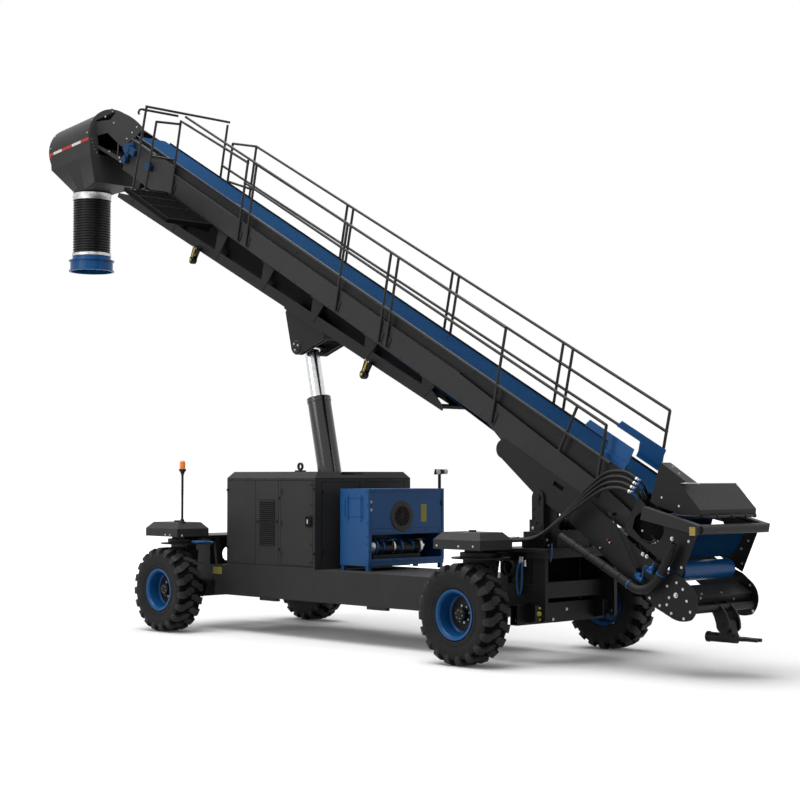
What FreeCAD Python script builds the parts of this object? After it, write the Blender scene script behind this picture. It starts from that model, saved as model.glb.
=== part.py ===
import math
import os
import FreeCAD, Part

os.makedirs("parts", exist_ok=True)

# ---------------------------------------------------------------------------
# Mobile loading conveyor.  Millimetres.  +X points to the intake end, +Y to the
# far side, +Z up.  The origin is on the floor, midway between the wheel pairs.
# "near" is the side at -Y, where the doors, the landing and the hoses are.
# ---------------------------------------------------------------------------

# running gear
WHEELBASE = 6620.0
TYRE_R = 675.0
TYRE_W = 440.0
WHEEL_Y = 1525.0          # middle plane of the tyre
BEAD_R = 338.0            # bore of the tyre
KINGPIN_Y = 1200.0
AXLE_R = 50.0

# chassis
BEAM_Y0, BEAM_Y1 = 640.0, 800.0
BEAM_Z0, BEAM_Z1 = 580.0, 1055.0
BEAM_X = 3030.0
DECK_Z = 1065.0
BRIDGE_Z = 1524.0         # top of the end portals
COLUMN_X0, COLUMN_X1 = 3830.0, 4050.0

# boom
BOOM_ANGLE = 28.8
DATUM_X, DATUM_Z = 3950.0, 2050.0
PIN_X = -309.0            # luffing pin, in the boom's own frame
PIN_R = 45.0
SIDE_Y = 430.0            # outer face of the boom's side plates
SIDE_T = 8.0
SKIRT_Y = 372.0
BELT_HALF = 335.0
BELT_TOP = 930.0
BELT_T = 12.0
RAIL_TOP = 1770.0
RAIL_R = 21.0
POST_LEAN = 16.3          # handrail posts lean uphill by this much from square

# lift cylinder
CYL_BASE = (-720.0, 820.0)
CYL_EYE = (-1575.0, 4560.0)
ROD_R = 118.0
BARREL_R = 186.0
FOOT_R = 150.0            # slimmer foot of the barrel, inside the well
LIFT_PIN_R = 45.0
BASE_PIN_R = 50.0

# discharge head
HOOD_R = 560.0
HOOD_L = 1427.0
HOOD_TILT = 5.5
HOOD_FACE = (-7200.0, 8770.0)
CHUTE_X = -7980.0
CHUTE_R = 352.0

# intake tail
TAIL_Y = 640.0            # inner face of the wide hopper and nose plates
COUPLER_PIN = (2840.0, -40.0)

GAP = 0.3


def vec(x, y, z):
    return FreeCAD.Vector(x, y, z)


def box(x0, x1, y0, y1, z0, z1):
    return Part.makeBox(x1 - x0, y1 - y0, z1 - z0, vec(x0, y0, z0))


def cyl(r, p, q):
    start = vec(*p)
    run = vec(*q) - start
    return Part.makeCylinder(r, run.Length, start, run)


def tube(r_out, r_in, p, q):
    return cyl(r_out, p, q).cut(cyl(r_in, p, q))


def both(near_side):
    """A piece drawn on the near side, with its mirror image on the far side."""
    return [near_side, near_side.mirror(vec(0, 0, 0), vec(0, 1, 0))]


def outline(path, place):
    """A closed face. A plain point is joined by a line, a pair (middle, end) by an arc."""
    edges = []
    here = path[0]
    for step in path[1:] + [path[0]]:
        if isinstance(step[0], tuple):
            middle, end = step
            edges.append(Part.Arc(place(*here), place(*middle), place(*end)).toShape())
        else:
            end = step
            if end != here:
                edges.append(Part.LineSegment(place(*here), place(*end)).toShape())
        here = end
    return Part.Face(Part.Wire(edges))


def plate_xz(path, y0, y1):
    return outline(path, lambda x, z: vec(x, y0, z)).extrude(vec(0, y1 - y0, 0))


def plate_yz(path, x0, x1):
    return outline(path, lambda y, z: vec(x0, y, z)).extrude(vec(x1 - x0, 0, 0))


def plate_xy(path, z0, z1):
    return outline(path, lambda x, y: vec(x, y, z0)).extrude(vec(0, 0, z1 - z0))


def turned_z(path, x, y):
    """Turn a (radius, z) outline about the upright line through (x, y)."""
    return outline(path, lambda r, z: vec(x + r, y, z)).revolve(vec(x, y, 0), vec(0, 0, 1), 360)


def loft(lower, upper):
    wires = [Part.makePolygon([vec(*p) for p in ring + ring[:1]]) for ring in (lower, upper)]
    return Part.makeLoft(wires, True, True)


def fuse(shapes):
    out = shapes[0]
    for s in shapes[1:]:
        out = out.fuse(s)
    return out.removeSplitter()


def cut(shape, cutters):
    for c in cutters:
        shape = shape.cut(c)
    return shape


def boom(shape):
    """From the boom's own level frame to its rest angle."""
    s = shape.copy()
    s.rotate(vec(0, 0, 0), vec(0, 1, 0), BOOM_ANGLE)
    s.translate(vec(DATUM_X, 0, DATUM_Z))
    return s


def boom_point(x, w):
    a = math.radians(BOOM_ANGLE)
    return (DATUM_X + x * math.cos(a) + w * math.sin(a), DATUM_Z - x * math.sin(a) + w * math.cos(a))


def boom_local(x, z):
    a = math.radians(BOOM_ANGLE)
    dx, dz = x - DATUM_X, z - DATUM_Z
    return (dx * math.cos(a) - dz * math.sin(a), dx * math.sin(a) + dz * math.cos(a))


def save(name, shapes):
    solids = []
    for s in shapes if isinstance(shapes, list) else [shapes]:
        for one in s.Solids:
            if one.Volume < 0:
                one.reverse()
            solids.append(one)
    out = solids[0] if len(solids) == 1 else Part.makeCompound(solids)
    if not out.isValid():
        print("NOT VALID", name)
    out.exportStep("parts/" + name + ".step")
    print(name, len(solids))


# ---------------------------------------------------------------------------
# Wheels: loader tyres on deep blue rims, one near and one far at each end
# ---------------------------------------------------------------------------
ENDS = (("front", 1), ("rear", -1))
SIDES = (("near", -1), ("far", 1))


def tyre_shape(x, side):
    h = TYRE_W / 2
    path = [(BEAD_R, -h + 40), ((BEAD_R + 110, -h - 2), (TYRE_R - 110, -h)), (TYRE_R - 45, -h + 18),
            ((TYRE_R - 2, -h + 75), (TYRE_R, 0)), ((TYRE_R - 2, h - 75), (TYRE_R - 45, h - 18)),
            (TYRE_R - 110, h), ((BEAD_R + 110, h + 2), (BEAD_R, h - 40))]

    def place(r, y):
        return vec(x + r, side * WHEEL_Y + y, TYRE_R)

    return outline(path, place).revolve(vec(x, 0, TYRE_R), vec(0, 1, 0), 360)


def rim_shape(x, side):
    """A lip at each bead, a barrel that tapers in, and a disc with a hub cap deep inside."""
    path = [(0, -95), (72, -95), (90, -78), (90, 8), (150, 14), (236, 14), (262, -8), (284, -168),
            (300, -192), (BEAD_R - 2, -200), (BEAD_R - 2, -186), (308, -172), (298, -40), (304, 160),
            (BEAD_R - 2, 172), (BEAD_R - 2, 186), (290, 172), (276, 46), (262, 34), (150, 34),
            (120, 62), (AXLE_R + 2, 62), (AXLE_R + 2, -40), (0, -40)]

    def place(r, y):
        return vec(x + r, side * (WHEEL_Y - y), TYRE_R)

    return outline(path, place).revolve(vec(x, 0, TYRE_R), vec(0, 1, 0), 360)


for end, ex in ENDS:
    for sname, sy in SIDES:
        save("tyre_%s_%s" % (end, sname), tyre_shape(ex * WHEELBASE / 2, sy))
        save("rim_%s_%s" % (end, sname), rim_shape(ex * WHEELBASE / 2, sy))

# ---------------------------------------------------------------------------
# Steering legs: a thin turntable plate, a box leg inboard of the tyre and the
# round final drive with its stub axle
# ---------------------------------------------------------------------------
LEG_Y0, LEG_Y1 = 1085.0, 1262.0
PLATE_Z0, PLATE_Z1 = 1394.0, 1412.0


def steering_leg(x, sy):
    y0, y1 = sorted((sy * LEG_Y0, sy * LEG_Y1))
    ky = sy * KINGPIN_Y
    leg = plate_xz([(x - 210, 1300), (x + 210, 1300), (x + 150, 900), (x + 150, TYRE_R),
                    ((x, TYRE_R - 190), (x - 150, TYRE_R)), (x - 150, 900)], y0, y1)
    pocket = plate_xz([(x - 185, 1285), (x + 185, 1285), (x + 130, 920), (x - 130, 920)], y0 + 16, y1 - 16)
    return fuse([leg.cut(pocket),
                 cyl(205, (x, sy * LEG_Y0, TYRE_R), (x, sy * 1272, TYRE_R)),
                 cyl(130, (x, sy * 1040, TYRE_R), (x, sy * LEG_Y0, TYRE_R)),
                 cyl(AXLE_R, (x, sy * LEG_Y1, TYRE_R), (x, sy * WHEEL_Y, TYRE_R)),
                 box(x - 220, x + 220, ky - 120, ky + 60, 1300, PLATE_Z0),
                 cyl(395, (x, ky, PLATE_Z0), (x, ky, PLATE_Z1)),
                 cyl(95, (x, ky, PLATE_Z1), (x, ky, 1470))])


for end, ex in ENDS:
    for sname, sy in SIDES:
        save("steering_leg_%s_%s" % (end, sname), steering_leg(ex * WHEELBASE / 2, sy))

# ---------------------------------------------------------------------------
# Chassis: two box beams, cross beams and the deck, with the lift cylinders'
# anchor between the beams
# ---------------------------------------------------------------------------
WALL = 10.0
beam = box(-BEAM_X, BEAM_X, BEAM_Y0, BEAM_Y1, BEAM_Z0, BEAM_Z1)
beam = beam.cut(box(-BEAM_X + WALL, BEAM_X - WALL, BEAM_Y0 + WALL, BEAM_Y1 - WALL, BEAM_Z0 + WALL, BEAM_Z1 - WALL))
frame = both(beam)
for x in (-2200, -400, 1300):
    frame.append(box(x, x + 140, -BEAM_Y0, BEAM_Y0, 700, 940))
for x in (-1900, 600):
    frame.append(box(x, x + 420, -BEAM_Y1 + 20, -BEAM_Y1 + 90, BEAM_Z0 - 45, BEAM_Z0))
WELL_X0, WELL_X1, WELL_Y = -1600.0, -575.0, 230.0
deck = box(-2900, 2700, -BEAM_Y1, BEAM_Y1, BEAM_Z1, DECK_Z)
deck = deck.cut(box(WELL_X0, WELL_X1, -WELL_Y, WELL_Y, 1000, 1100))
save("chassis_frame", fuse(frame + [deck]))

BASE_X, BASE_Z = CYL_BASE
anchor = [box(BASE_X - 140, BASE_X + 140, -BEAM_Y0 + GAP, BEAM_Y0 - GAP, 600, 702)]
ear = plate_xz([(BASE_X - 130, 700), (BASE_X + 130, 700), (BASE_X + 95, BASE_Z),
                ((BASE_X, BASE_Z + 95), (BASE_X - 95, BASE_Z))], -140, -112)
anchor += both(ear)
anchor.append(cyl(BASE_PIN_R, (BASE_X, -165, BASE_Z), (BASE_X, 165, BASE_Z)))
save("cylinder_anchor", fuse(anchor))


def bridge(ex):
    """End portal: a girder over the wheels, two columns with pinned feet, two cross beams."""
    x = ex * WHEELBASE / 2

    def span(a, b):
        return sorted((ex * a, ex * b))

    arm_x0, arm_x1 = sorted((x - 170, x + 170))
    items = [plate_xy([(arm_x0, -1340), (arm_x1, -1340), (arm_x1, 1340), (arm_x0, 1340)], 1476, BRIDGE_Z)]
    girder = box(x - 130, x + 130, -780, 780, 1340, 1476)
    items.append(girder.cut(box(x - 118, x + 118, -768, 768, 1352, 1464)))
    x0, x1 = span(3170, COLUMN_X1 + 40)
    items.append(box(x0, x1, -790, 790, 1476, BRIDGE_Z))
    x0, x1 = span(COLUMN_X0 - 80, COLUMN_X1)
    items.append(box(x0, x1, -780, 780, 1400, 1476))
    for sy in (-1, 1):
        y0, y1 = sorted((sy * 690, sy * 750))
        foot = (COLUMN_X0 + COLUMN_X1) / 2 + 55
        column = plate_xz([(ex * COLUMN_X0, 1400), (ex * COLUMN_X1, 1400), (ex * COLUMN_X1, 780),
                           (ex * (foot + 55), 620), ((ex * foot, 560), (ex * (foot - 55), 620)),
                           (ex * (foot - 55), 780), (ex * COLUMN_X0, 780)], y0, y1)
        items.append(column.cut(cyl(22, (ex * foot, sy * 680, 640), (ex * foot, sy * 760, 640))))
        y0, y1 = sorted((sy * 655, sy * 745))
        x0, x1 = span(BEAM_X, COLUMN_X0)
        items.append(plate_xz([(x0, 800), (x1, 800), (x1, 1050), (x0, 1050)], y0, y1))
        x0, x1 = span(3240, 3380)
        items.append(box(x0, x1, y0, y1, 1050, 1340))
        items.append(plate_xz([(ex * (BEAM_X + 5), 1050), (ex * (BEAM_X + 65), 1050), (ex * 3170, 1476),
                               (ex * 3110, 1476)], y0, y1))
    for sy in (-1, 1):
        y0, y1 = sorted((sy * 700, sy * 712))
        items.append(plate_xz([(ex * 3250, 1476), (ex * 3840, 1476), (ex * 3840, 560), (ex * 3560, 505),
                               (ex * 3470, 505), (ex * 3250, 800)], y0, y1))
    wall = box(*span(3400, 3412), -700, 400, 850, 1476)
    items.append(wall.cut(cyl(120, (ex * 3390, -250, 1200), (ex * 3420, -250, 1200))))
    x0, x1 = span(3560, 3690)
    low = box(x0, x1, -900, 900, 505, 775)
    items.append(low.cut(box(x0 + 12, x1 - 12, -901, 901, 517, 763)))
    for sy in (-1, 1):
        y0, y1 = sorted((sy * 655, sy * 745))
        items.append(box(x0, x1, y0, y1, 763, 800))
    x0, x1 = span(3745, COLUMN_X0 + 10)
    middle = box(x0, x1, -700, 700, 850, 1065)
    items.append(middle)
    return items


# slew rings under bevelled covers, one above each steering leg
def cover(x, sy):
    x0, x1 = x - 430, x + 430
    y0, y1 = sorted((sy * 1050, sy * 1670))
    bevel = 90
    lid = loft([(x0, y0, 1650), (x1, y0, 1650), (x1, y1, 1650), (x0, y1, 1650)],
               [(x0 + bevel, y0 + bevel, 1750), (x1 - bevel, y0 + bevel, 1750),
                (x1 - bevel, y1 - bevel, 1750), (x0 + bevel, y1 - bevel, 1750)])
    hollow = box(x0 + 6, x1 - 6, y0 + 6, y1 - 6, 1500, 1640)
    skin = fuse([box(x0, x1, y0, y1, BRIDGE_Z + GAP, 1650), lid]).cut(hollow)
    y = (y0 + y1) / 2
    return fuse([skin, cyl(52, (x, y, 1749), (x, y, 1776))])


covers = []
for end, ex in ENDS:
    x = ex * WHEELBASE / 2
    rings = [tube(280, 100, (x, sy * KINGPIN_Y, 1418), (x, sy * KINGPIN_Y, 1477)) for sy in (-1, 1)]
    save("bridge_" + end, fuse(bridge(ex) + rings))
    covers += [cover(x, sy) for sy in (-1, 1)]
save("steer_covers", covers)

# ---------------------------------------------------------------------------
# Dark enclosure, with a well through it for the lift cylinders
# ---------------------------------------------------------------------------
ENC_X0, ENC_X1, ENC_Y0, ENC_Y1 = -2720.0, -545.0, -800.0, 1220.0
ENC_Z1, ENC_Z2 = 2460.0, 2560.0
SKIN = 5.0
HINGE_R = 9.0
WHEEL_NOTCH = (-2590.0, 1030.0, 1385.0)   # recess in the far rear corner, clear of the steered tyre


def wheel_notch(growth):
    x, y, z = WHEEL_NOTCH
    return box(ENC_X0 - 10, x + growth, y - growth, ENC_Y1 + 10, DECK_Z - 10, z + growth)


outer = fuse([box(ENC_X0, ENC_X1, ENC_Y0, ENC_Y1, DECK_Z, ENC_Z1),
              loft([(ENC_X0, ENC_Y0, ENC_Z1), (ENC_X1, ENC_Y0, ENC_Z1), (ENC_X1, ENC_Y1, ENC_Z1),
                    (ENC_X0, ENC_Y1, ENC_Z1)],
                   [(ENC_X0 + 60, ENC_Y0 + 100, ENC_Z2), (ENC_X1 - 60, ENC_Y0 + 100, ENC_Z2),
                    (ENC_X1 - 60, ENC_Y1 - 100, ENC_Z2), (ENC_X0 + 60, ENC_Y1 - 100, ENC_Z2)])])
outer = outer.cut(wheel_notch(0))
inner = box(ENC_X0 + SKIN, ENC_X1 - SKIN, ENC_Y0 + SKIN, ENC_Y1 - SKIN, DECK_Z + SKIN, ENC_Z1)
inner = inner.cut(wheel_notch(SKIN))
well_wall = box(WELL_X0 - SKIN, WELL_X1 + SKIN, -WELL_Y - SKIN, WELL_Y + SKIN, DECK_Z, ENC_Z2 - 20)
well = box(WELL_X0, WELL_X1, -WELL_Y, WELL_Y, DECK_Z - 10, ENC_Z2 + 10)
shell = fuse([outer.cut(inner), well_wall.common(outer)]).cut(well)
DOOR_X0, DOOR_X1, DOOR_Z0, DOOR_Z1 = -1365.0, -590.0, 1110.0, 2430.0
LOUVRE_X0, LOUVRE_X1, LOUVRE_Z0, LOUVRE_Z1 = -1890.0, -1500.0, 1400.0, 2120.0
shell = cut(shell, [box(DOOR_X0, DOOR_X1, ENC_Y0 - 5, ENC_Y0 + SKIN + 5, DOOR_Z0, DOOR_Z1),
                    box(LOUVRE_X0, LOUVRE_X1, ENC_Y0 - 5, ENC_Y0 + SKIN + 5, LOUVRE_Z0, LOUVRE_Z1)])
save("enclosure_shell", shell)

SLATS = 12
pitch = (LOUVRE_Z1 - LOUVRE_Z0) / SLATS
louvre = [box(LOUVRE_X0 + 1, LOUVRE_X1 - 1, ENC_Y0 + 3, ENC_Y0 + 5, LOUVRE_Z0 + 1, LOUVRE_Z1 - 1)]
for i in range(SLATS):
    z = LOUVRE_Z0 + i * pitch
    louvre.append(plate_yz([(ENC_Y0 + 3, z + 4), (ENC_Y0 - 12, z + 10), (ENC_Y0 + 3, z + pitch - 8)],
                           LOUVRE_X0 + 1, LOUVRE_X1 - 1))
save("enclosure_louvre", fuse(louvre))


def hinged_panel(x0, x1, y, z0, z1, knuckles):
    """A flush door with a joggled hinge edge: the knuckles stand proud on the pin's line."""
    pieces = [box(x0, x1, y - 1, y + 3, z0, z1)]
    pin_x, pin_y = x0 + HINGE_R, y - 1 - HINGE_R
    for z in knuckles:
        pieces.append(cyl(HINGE_R, (pin_x, pin_y, z), (pin_x, pin_y, z + 90)))
        pieces.append(box(pin_x, pin_x + 40, y - 5, y, z + 5, z + 85))
    return pieces


door = hinged_panel(DOOR_X0 + 6, DOOR_X1 - 6, ENC_Y0, DOOR_Z0 + 6, DOOR_Z1 - 6, (1240, 1720, 2210))
door.append(box(DOOR_X1 - 110, DOOR_X1 - 70, ENC_Y0 - 22, ENC_Y0 - 1, 1720, 1860))
save("enclosure_door", fuse(door))
eye = tube(62, 34, (-1120, -620, 2640), (-1120, -590, 2640))
save("lifting_eye", fuse([eye, box(-1190, -1050, -660, -550, ENC_Z2 + GAP, ENC_Z2 + 22)]))
save("engine_block", box(-2500, -1950, -250, 800, 1120, 1900))

# ---------------------------------------------------------------------------
# Blue power unit beside the enclosure
# ---------------------------------------------------------------------------
UNIT_X0, UNIT_X1, UNIT_Y0, UNIT_Y1 = -300.0, 330.0, -500.0, 1100.0
UNIT_Z0, UNIT_Z1 = 1140.0, 2300.0
FAN_Y, FAN_Z, FAN_R = 190.0, 1880.0, 150.0
HATCH_X0, HATCH_X1, HATCH_Z0, HATCH_Z1 = -200.0, 220.0, 1870.0, 2160.0
unit = box(UNIT_X0, UNIT_X1, UNIT_Y0, UNIT_Y1, UNIT_Z0, UNIT_Z1)
unit = unit.cut(box(UNIT_X0 + 4, UNIT_X1 - 4, UNIT_Y0 + 4, UNIT_Y1 - 4, UNIT_Z0 + 4, UNIT_Z1 - 4))
unit = cut(unit, [box(UNIT_X1 - 10, UNIT_X1 + 10, UNIT_Y0 + 70, UNIT_Y1 - 60, 1215, 1610),
                  cyl(FAN_R, (UNIT_X1 - 20, FAN_Y, FAN_Z), (UNIT_X1 + 20, FAN_Y, FAN_Z)),
                  box(HATCH_X0, HATCH_X1, UNIT_Y0 - 5, UNIT_Y0 + 10, HATCH_Z0, HATCH_Z1)])
case = [unit]
for x in (UNIT_X0 + 10, UNIT_X1 - 70):
    for y in (UNIT_Y0 + 10, UNIT_Y1 - 70):
        case.append(box(x, x + 60, y, y + 60, DECK_Z + GAP, UNIT_Z0 + 1))
save("power_unit_case", fuse(case))
save("power_unit_hatch", fuse(hinged_panel(HATCH_X0 + 5, HATCH_X1 - 5, UNIT_Y0, HATCH_Z0 + 5, HATCH_Z1 - 5,
                                           (1905, 2040))))
pump = [cyl(115, (90, -380, 1390), (90, 260, 1390)), cyl(150, (90, 120, 1390), (90, 420, 1390)),
        cyl(90, (90, 420, 1390), (90, 760, 1390)), box(-40, 220, -300, 700, UNIT_Z0 + 5, 1300),
        cyl(60, (230, -250, 1390), (230, 500, 1390)), box(120, 240, -60, 20, 1330, 1430)]
save("motor_pump_set", fuse(pump))
save("work_lamp_post", fuse([cyl(24, (270, 1070, UNIT_Z1 + GAP), (270, 1070, 2525)),
                             plate_xz([(205, 2515), (320, 2525), (335, 2595), (225, 2600)], 1010, 1130)]))
MAST_X, MAST_Y, MAST_Z = -3010.0, -1480.0, 1750.0 + GAP
save("beacon_mast", fuse([cyl(17, (MAST_X, MAST_Y, MAST_Z), (MAST_X, MAST_Y, 2560)),
                          cyl(60, (MAST_X, MAST_Y, MAST_Z), (MAST_X, MAST_Y, MAST_Z + 12)),
                          turned_z([(0, 2540), (58, 2588), (58, 2602), (44, 2606), (42, 2722), (30, 2740),
                                    (0, 2740)], MAST_X, MAST_Y)]))

# ---------------------------------------------------------------------------
# Tower that carries the luffing pin
# ---------------------------------------------------------------------------
pin_wx, pin_wz = boom_point(PIN_X, 0)
half = SIDE_Y - 55        # outer face of the plates inside the boom's cheeks
cheek_inside = plate_xz([(3430, BRIDGE_Z), (3940, BRIDGE_Z), (3940, 2080), (pin_wx + 98, pin_wz + 70),
                         ((pin_wx, pin_wz + 120), (pin_wx - 98, pin_wz + 70)), (3520, 1960)], -half, -half + 40)
strap = plate_xz([(3570, 1740), (3780, 1740), (3780, pin_wz),
                  ((pin_wx - 5, pin_wz + 105), (3570, pin_wz))], -SIDE_Y - 42, -SIDE_Y - 20)
block = box(3430, 3840, -520, -half, BRIDGE_Z, 1650)
cap = box(3445, 3825, -505, -half, 1650, 1740)
tower = both(cheek_inside) + both(strap) + both(block) + both(cap)
tower += [box(3440, 3480, -half, half, BRIDGE_Z, 1900), box(3890, 3930, -half, half, BRIDGE_Z, 1760)]
tower.append(cyl(PIN_R, (pin_wx, -SIDE_Y - 62, pin_wz), (pin_wx, SIDE_Y + 62, pin_wz)))
save("pivot_tower", fuse(tower))

# ---------------------------------------------------------------------------
# Lift cylinder: one wide barrel with a collar, and a rod whose eye carries one long pin
# ---------------------------------------------------------------------------
EYE_X, EYE_Z = CYL_EYE
LENGTH = math.hypot(EYE_X - BASE_X, EYE_Z - BASE_Z)
ux, uz = (EYE_X - BASE_X) / LENGTH, (EYE_Z - BASE_Z) / LENGTH
FOOT_TOP = 640.0
BARREL_TOP = 3000.0
ROD_START = 1060.0
EYE_HALF = 100.0          # half width of the eyes at both ends


def along(t):
    return (BASE_X + ux * t, 0, BASE_Z + uz * t)


barrel = fuse([cyl(110, (BASE_X, -EYE_HALF, BASE_Z), (BASE_X, EYE_HALF, BASE_Z)),
               cyl(95, along(20), along(170)),
               cyl(FOOT_R, along(150), along(FOOT_TOP + 1)),
               cyl(BARREL_R, along(FOOT_TOP), along(BARREL_TOP)),
               cyl(BARREL_R + 6, along(BARREL_TOP - 85), along(BARREL_TOP - 6))])
barrel = barrel.cut(cyl(ROD_R + 6, along(220), along(BARREL_TOP + 1)))
save("lift_barrel", barrel.cut(cyl(BASE_PIN_R + 0.5, (BASE_X, -110, BASE_Z), (BASE_X, 110, BASE_Z))))
rod = [cyl(LIFT_PIN_R, (EYE_X, -322, EYE_Z), (EYE_X, 322, EYE_Z)),
       cyl(75, (EYE_X, -196, EYE_Z), (EYE_X, 196, EYE_Z)),
       cyl(105, (EYE_X, -EYE_HALF, EYE_Z), (EYE_X, EYE_HALF, EYE_Z)),
       cyl(ROD_R, along(ROD_START), along(LENGTH - 70))]
for y in (-322, 308):
    rod.append(cyl(92, (EYE_X, y, EYE_Z), (EYE_X, y + 14, EYE_Z)))
save("lift_rod", fuse(rod))

# ---------------------------------------------------------------------------
# Boom, all in its level frame: +X downhill, drawn from the boom's datum
# ---------------------------------------------------------------------------
HEAD_X = -11905.0
PANEL_X = -10400.0        # head panels end here and the long side plates begin
TAIL_X = 1180.0
LIP = 55.0

# head panel, long plate and tail piece in one outline, with a lip along the long part
side = plate_xz([(HEAD_X, 300), (PANEL_X - 500, 300), (PANEL_X, 455), (-1650, 440), (-1320, 352), (TAIL_X, 352),
                 (TAIL_X, 600), (450, 680), (-2500, 806), (PANEL_X, 790), (PANEL_X - 40, 925), (-11790, 925),
                 (HEAD_X, 815)],
                -SIDE_Y, -SIDE_Y + SIDE_T)
lower_lip = plate_xz([(PANEL_X, 455), (-1650, 440), (-1650, 448), (PANEL_X, 463)], -SIDE_Y, -SIDE_Y + LIP)
upper_lip = plate_xz([(PANEL_X, 790), (-2500, 806), (-2500, 798), (PANEL_X, 782)], -SIDE_Y, -SIDE_Y + LIP)
side = fuse([side, lower_lip, upper_lip])
for sname, solid in zip(("near", "far"), both(side)):
    save("boom_side_plate_" + sname, boom(solid))

# skirts along the belt's edges; the near one carries the rounded light capping
skirt_near = fuse([plate_xz([(-11860, 560), (1500, 560), (1500, 840), (1300, 850), (775, 1050), (760, 985),
                             (300, 985), (300, 975), (-11860, 975)],
                            -SKIRT_Y, -SKIRT_Y + 6),
                   box(-11860, 290, -SKIRT_Y - 12, -SKIRT_Y + 14, 950, 975)])
skirt_far = plate_xz([(-11860, 560), (1500, 560), (1500, 840), (1300, 850), (775, 1050), (760, 950),
                      (-11860, 950)], SKIRT_Y - 6, SKIRT_Y)
save("belt_skirts", [boom(skirt_near), boom(skirt_far)])
FLOOR_BARS = 13
bars = [box(x, x + 60, -SKIRT_Y + 6 + GAP, SKIRT_Y - 6 - GAP, 690, 750)
        for x in (-11300.0 + i * 930 for i in range(FLOOR_BARS))]
save("boom_crossmembers", [boom(b) for b in bars])

# belt loop round the head drum and the two tail drums
HEAD_DRUM = (-11950.0, BELT_TOP - BELT_T - 188.0, 188.0)
UPPER_DRUM = (1720.0, BELT_TOP - BELT_T - 80.0, 80.0)
LOWER_DRUM = (1760.0, 420.0, 108.0)


def belt_face(growth):
    """Outline of the loop at a growth over the drum faces: straight runs and wrapped arcs."""
    (hx, hz, hr), (tx, tz, tr), (lx, lz, lr) = [(a, b, r + growth) for a, b, r in
                                               (HEAD_DRUM, UPPER_DRUM, LOWER_DRUM)]

    def on(x, z, r, angle):
        return vec(x + r * math.cos(angle), 0, z + r * math.sin(angle))

    front = math.atan2(lz - tz, lx - tx) + math.acos((tr - lr) / math.hypot(lx - tx, lz - tz))
    back = math.atan2(hz - lz, hx - lx) + math.acos((lr - hr) / math.hypot(hx - lx, hz - lz))
    up = math.pi / 2
    p1, p2 = on(hx, hz, hr, up), on(tx, tz, tr, up)
    p3, p4 = on(tx, tz, tr, front), on(lx, lz, lr, front)
    p5, p6 = on(lx, lz, lr, back), on(hx, hz, hr, back)
    edges = [Part.LineSegment(p1, p2), Part.Arc(p2, on(tx, tz, tr, (up + front) / 2), p3),
             Part.LineSegment(p3, p4), Part.Arc(p4, on(lx, lz, lr, (front + back) / 2 - math.pi), p5),
             Part.LineSegment(p5, p6), Part.Arc(p6, on(hx, hz, hr, math.pi), p1)]
    return Part.Face(Part.Wire([e.toShape() for e in edges]))


belt = belt_face(BELT_T).cut(belt_face(GAP))
belt.translate(vec(0, -BELT_HALF, 0))
save("belt", boom(belt.extrude(vec(0, 2 * BELT_HALF, 0))))


def drum(x, z, r, half_length):
    return boom(fuse([cyl(r, (x, -half_length, z), (x, half_length, z)),
                      cyl(28, (x, -half_length - 24, z), (x, half_length + 24, z))]))


ROLLER = (2180.0, 352.0, 125.0)
save("head_drum", drum(*HEAD_DRUM, 342))
save("tail_drums", [drum(*UPPER_DRUM, 345), drum(*LOWER_DRUM, 345), drum(*ROLLER, 530)])
apron = plate_xz([(2122, 500), (2176, 640), (2188, 930), (2182, 930), (2170, 642), (2116, 502)], -545, 545)
save("intake_apron", boom(apron))

# drive motor, bearings and valves beside the head drum
hx, hz, hr = HEAD_DRUM
near_face = -SIDE_Y - GAP
drive = [cyl(118, (hx + 150, near_face, hz), (hx + 150, near_face - 26, hz)),
         cyl(92, (hx + 150, near_face - 20, hz), (hx + 150, near_face - 130, hz)),
         box(hx + 130, hx + 420, near_face - 120, near_face - 30, hz - 60, hz + 50),
         cyl(72, (hx + 110, near_face, 500), (hx + 110, near_face - 90, 500)),
         box(hx + 60, hx + 180, near_face - 60, near_face, 500, hz)]
valves = fuse([box(-11180, -11000, near_face - 90, near_face, 600, 700),
               cyl(30, (-11060, near_face - 60, 690), (-11060, near_face - 60, 760))])
bearing = cyl(118, (hx + 150, SIDE_Y + GAP, hz), (hx + 150, SIDE_Y + 60, hz))
save("head_drive", [boom(fuse(drive)), boom(valves), boom(bearing)])

# lower frame: side trusses under the boom, with cross ties and castor brackets
LOW_X0, LOW_X1 = -11900.0, -2600.0
LOW_Y0, LOW_Y1 = 346.0, 362.0


def low_z(x):
    return 150.0 + (x - LOW_X1) * (380.0 / 9300.0)


truss = []
rail_low = plate_xz([(LOW_X0, low_z(LOW_X0)), (LOW_X1, low_z(LOW_X1)), (LOW_X1, low_z(LOW_X1) + 60),
                     (-2900, low_z(-2900) + 175), (LOW_X0 + 400, low_z(LOW_X0) + 190),
                     (LOW_X0, low_z(LOW_X0) + 80)],
                    -LOW_Y1, -LOW_Y0)
truss += both(rail_low)
TIES = 7
for i in range(TIES):
    x = -3050.0 - i * 1400.0
    gusset = plate_xz([(x - 40, low_z(x) + 40), (x + 40, low_z(x) + 40), (x + 150, 425), (x - 150, 425)],
                      -LOW_Y1 - 6, -LOW_Y0)
    head = plate_xz([(x - 150, 425), (x + 150, 425), (x + 150, 440), (x - 150, 440)], -SIDE_Y + 8, -LOW_Y0)
    truss += both(gusset) + both(head)
    truss.append(box(x - 35, x + 35, -LOW_Y0, LOW_Y0, low_z(x) + 30, low_z(x) + 110))
for x in (LOW_X0 + 60, LOW_X1 - 120):
    truss.append(box(x, x + 60, -LOW_Y0, LOW_Y0, low_z(x) + 10, low_z(x) + 60))
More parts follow.
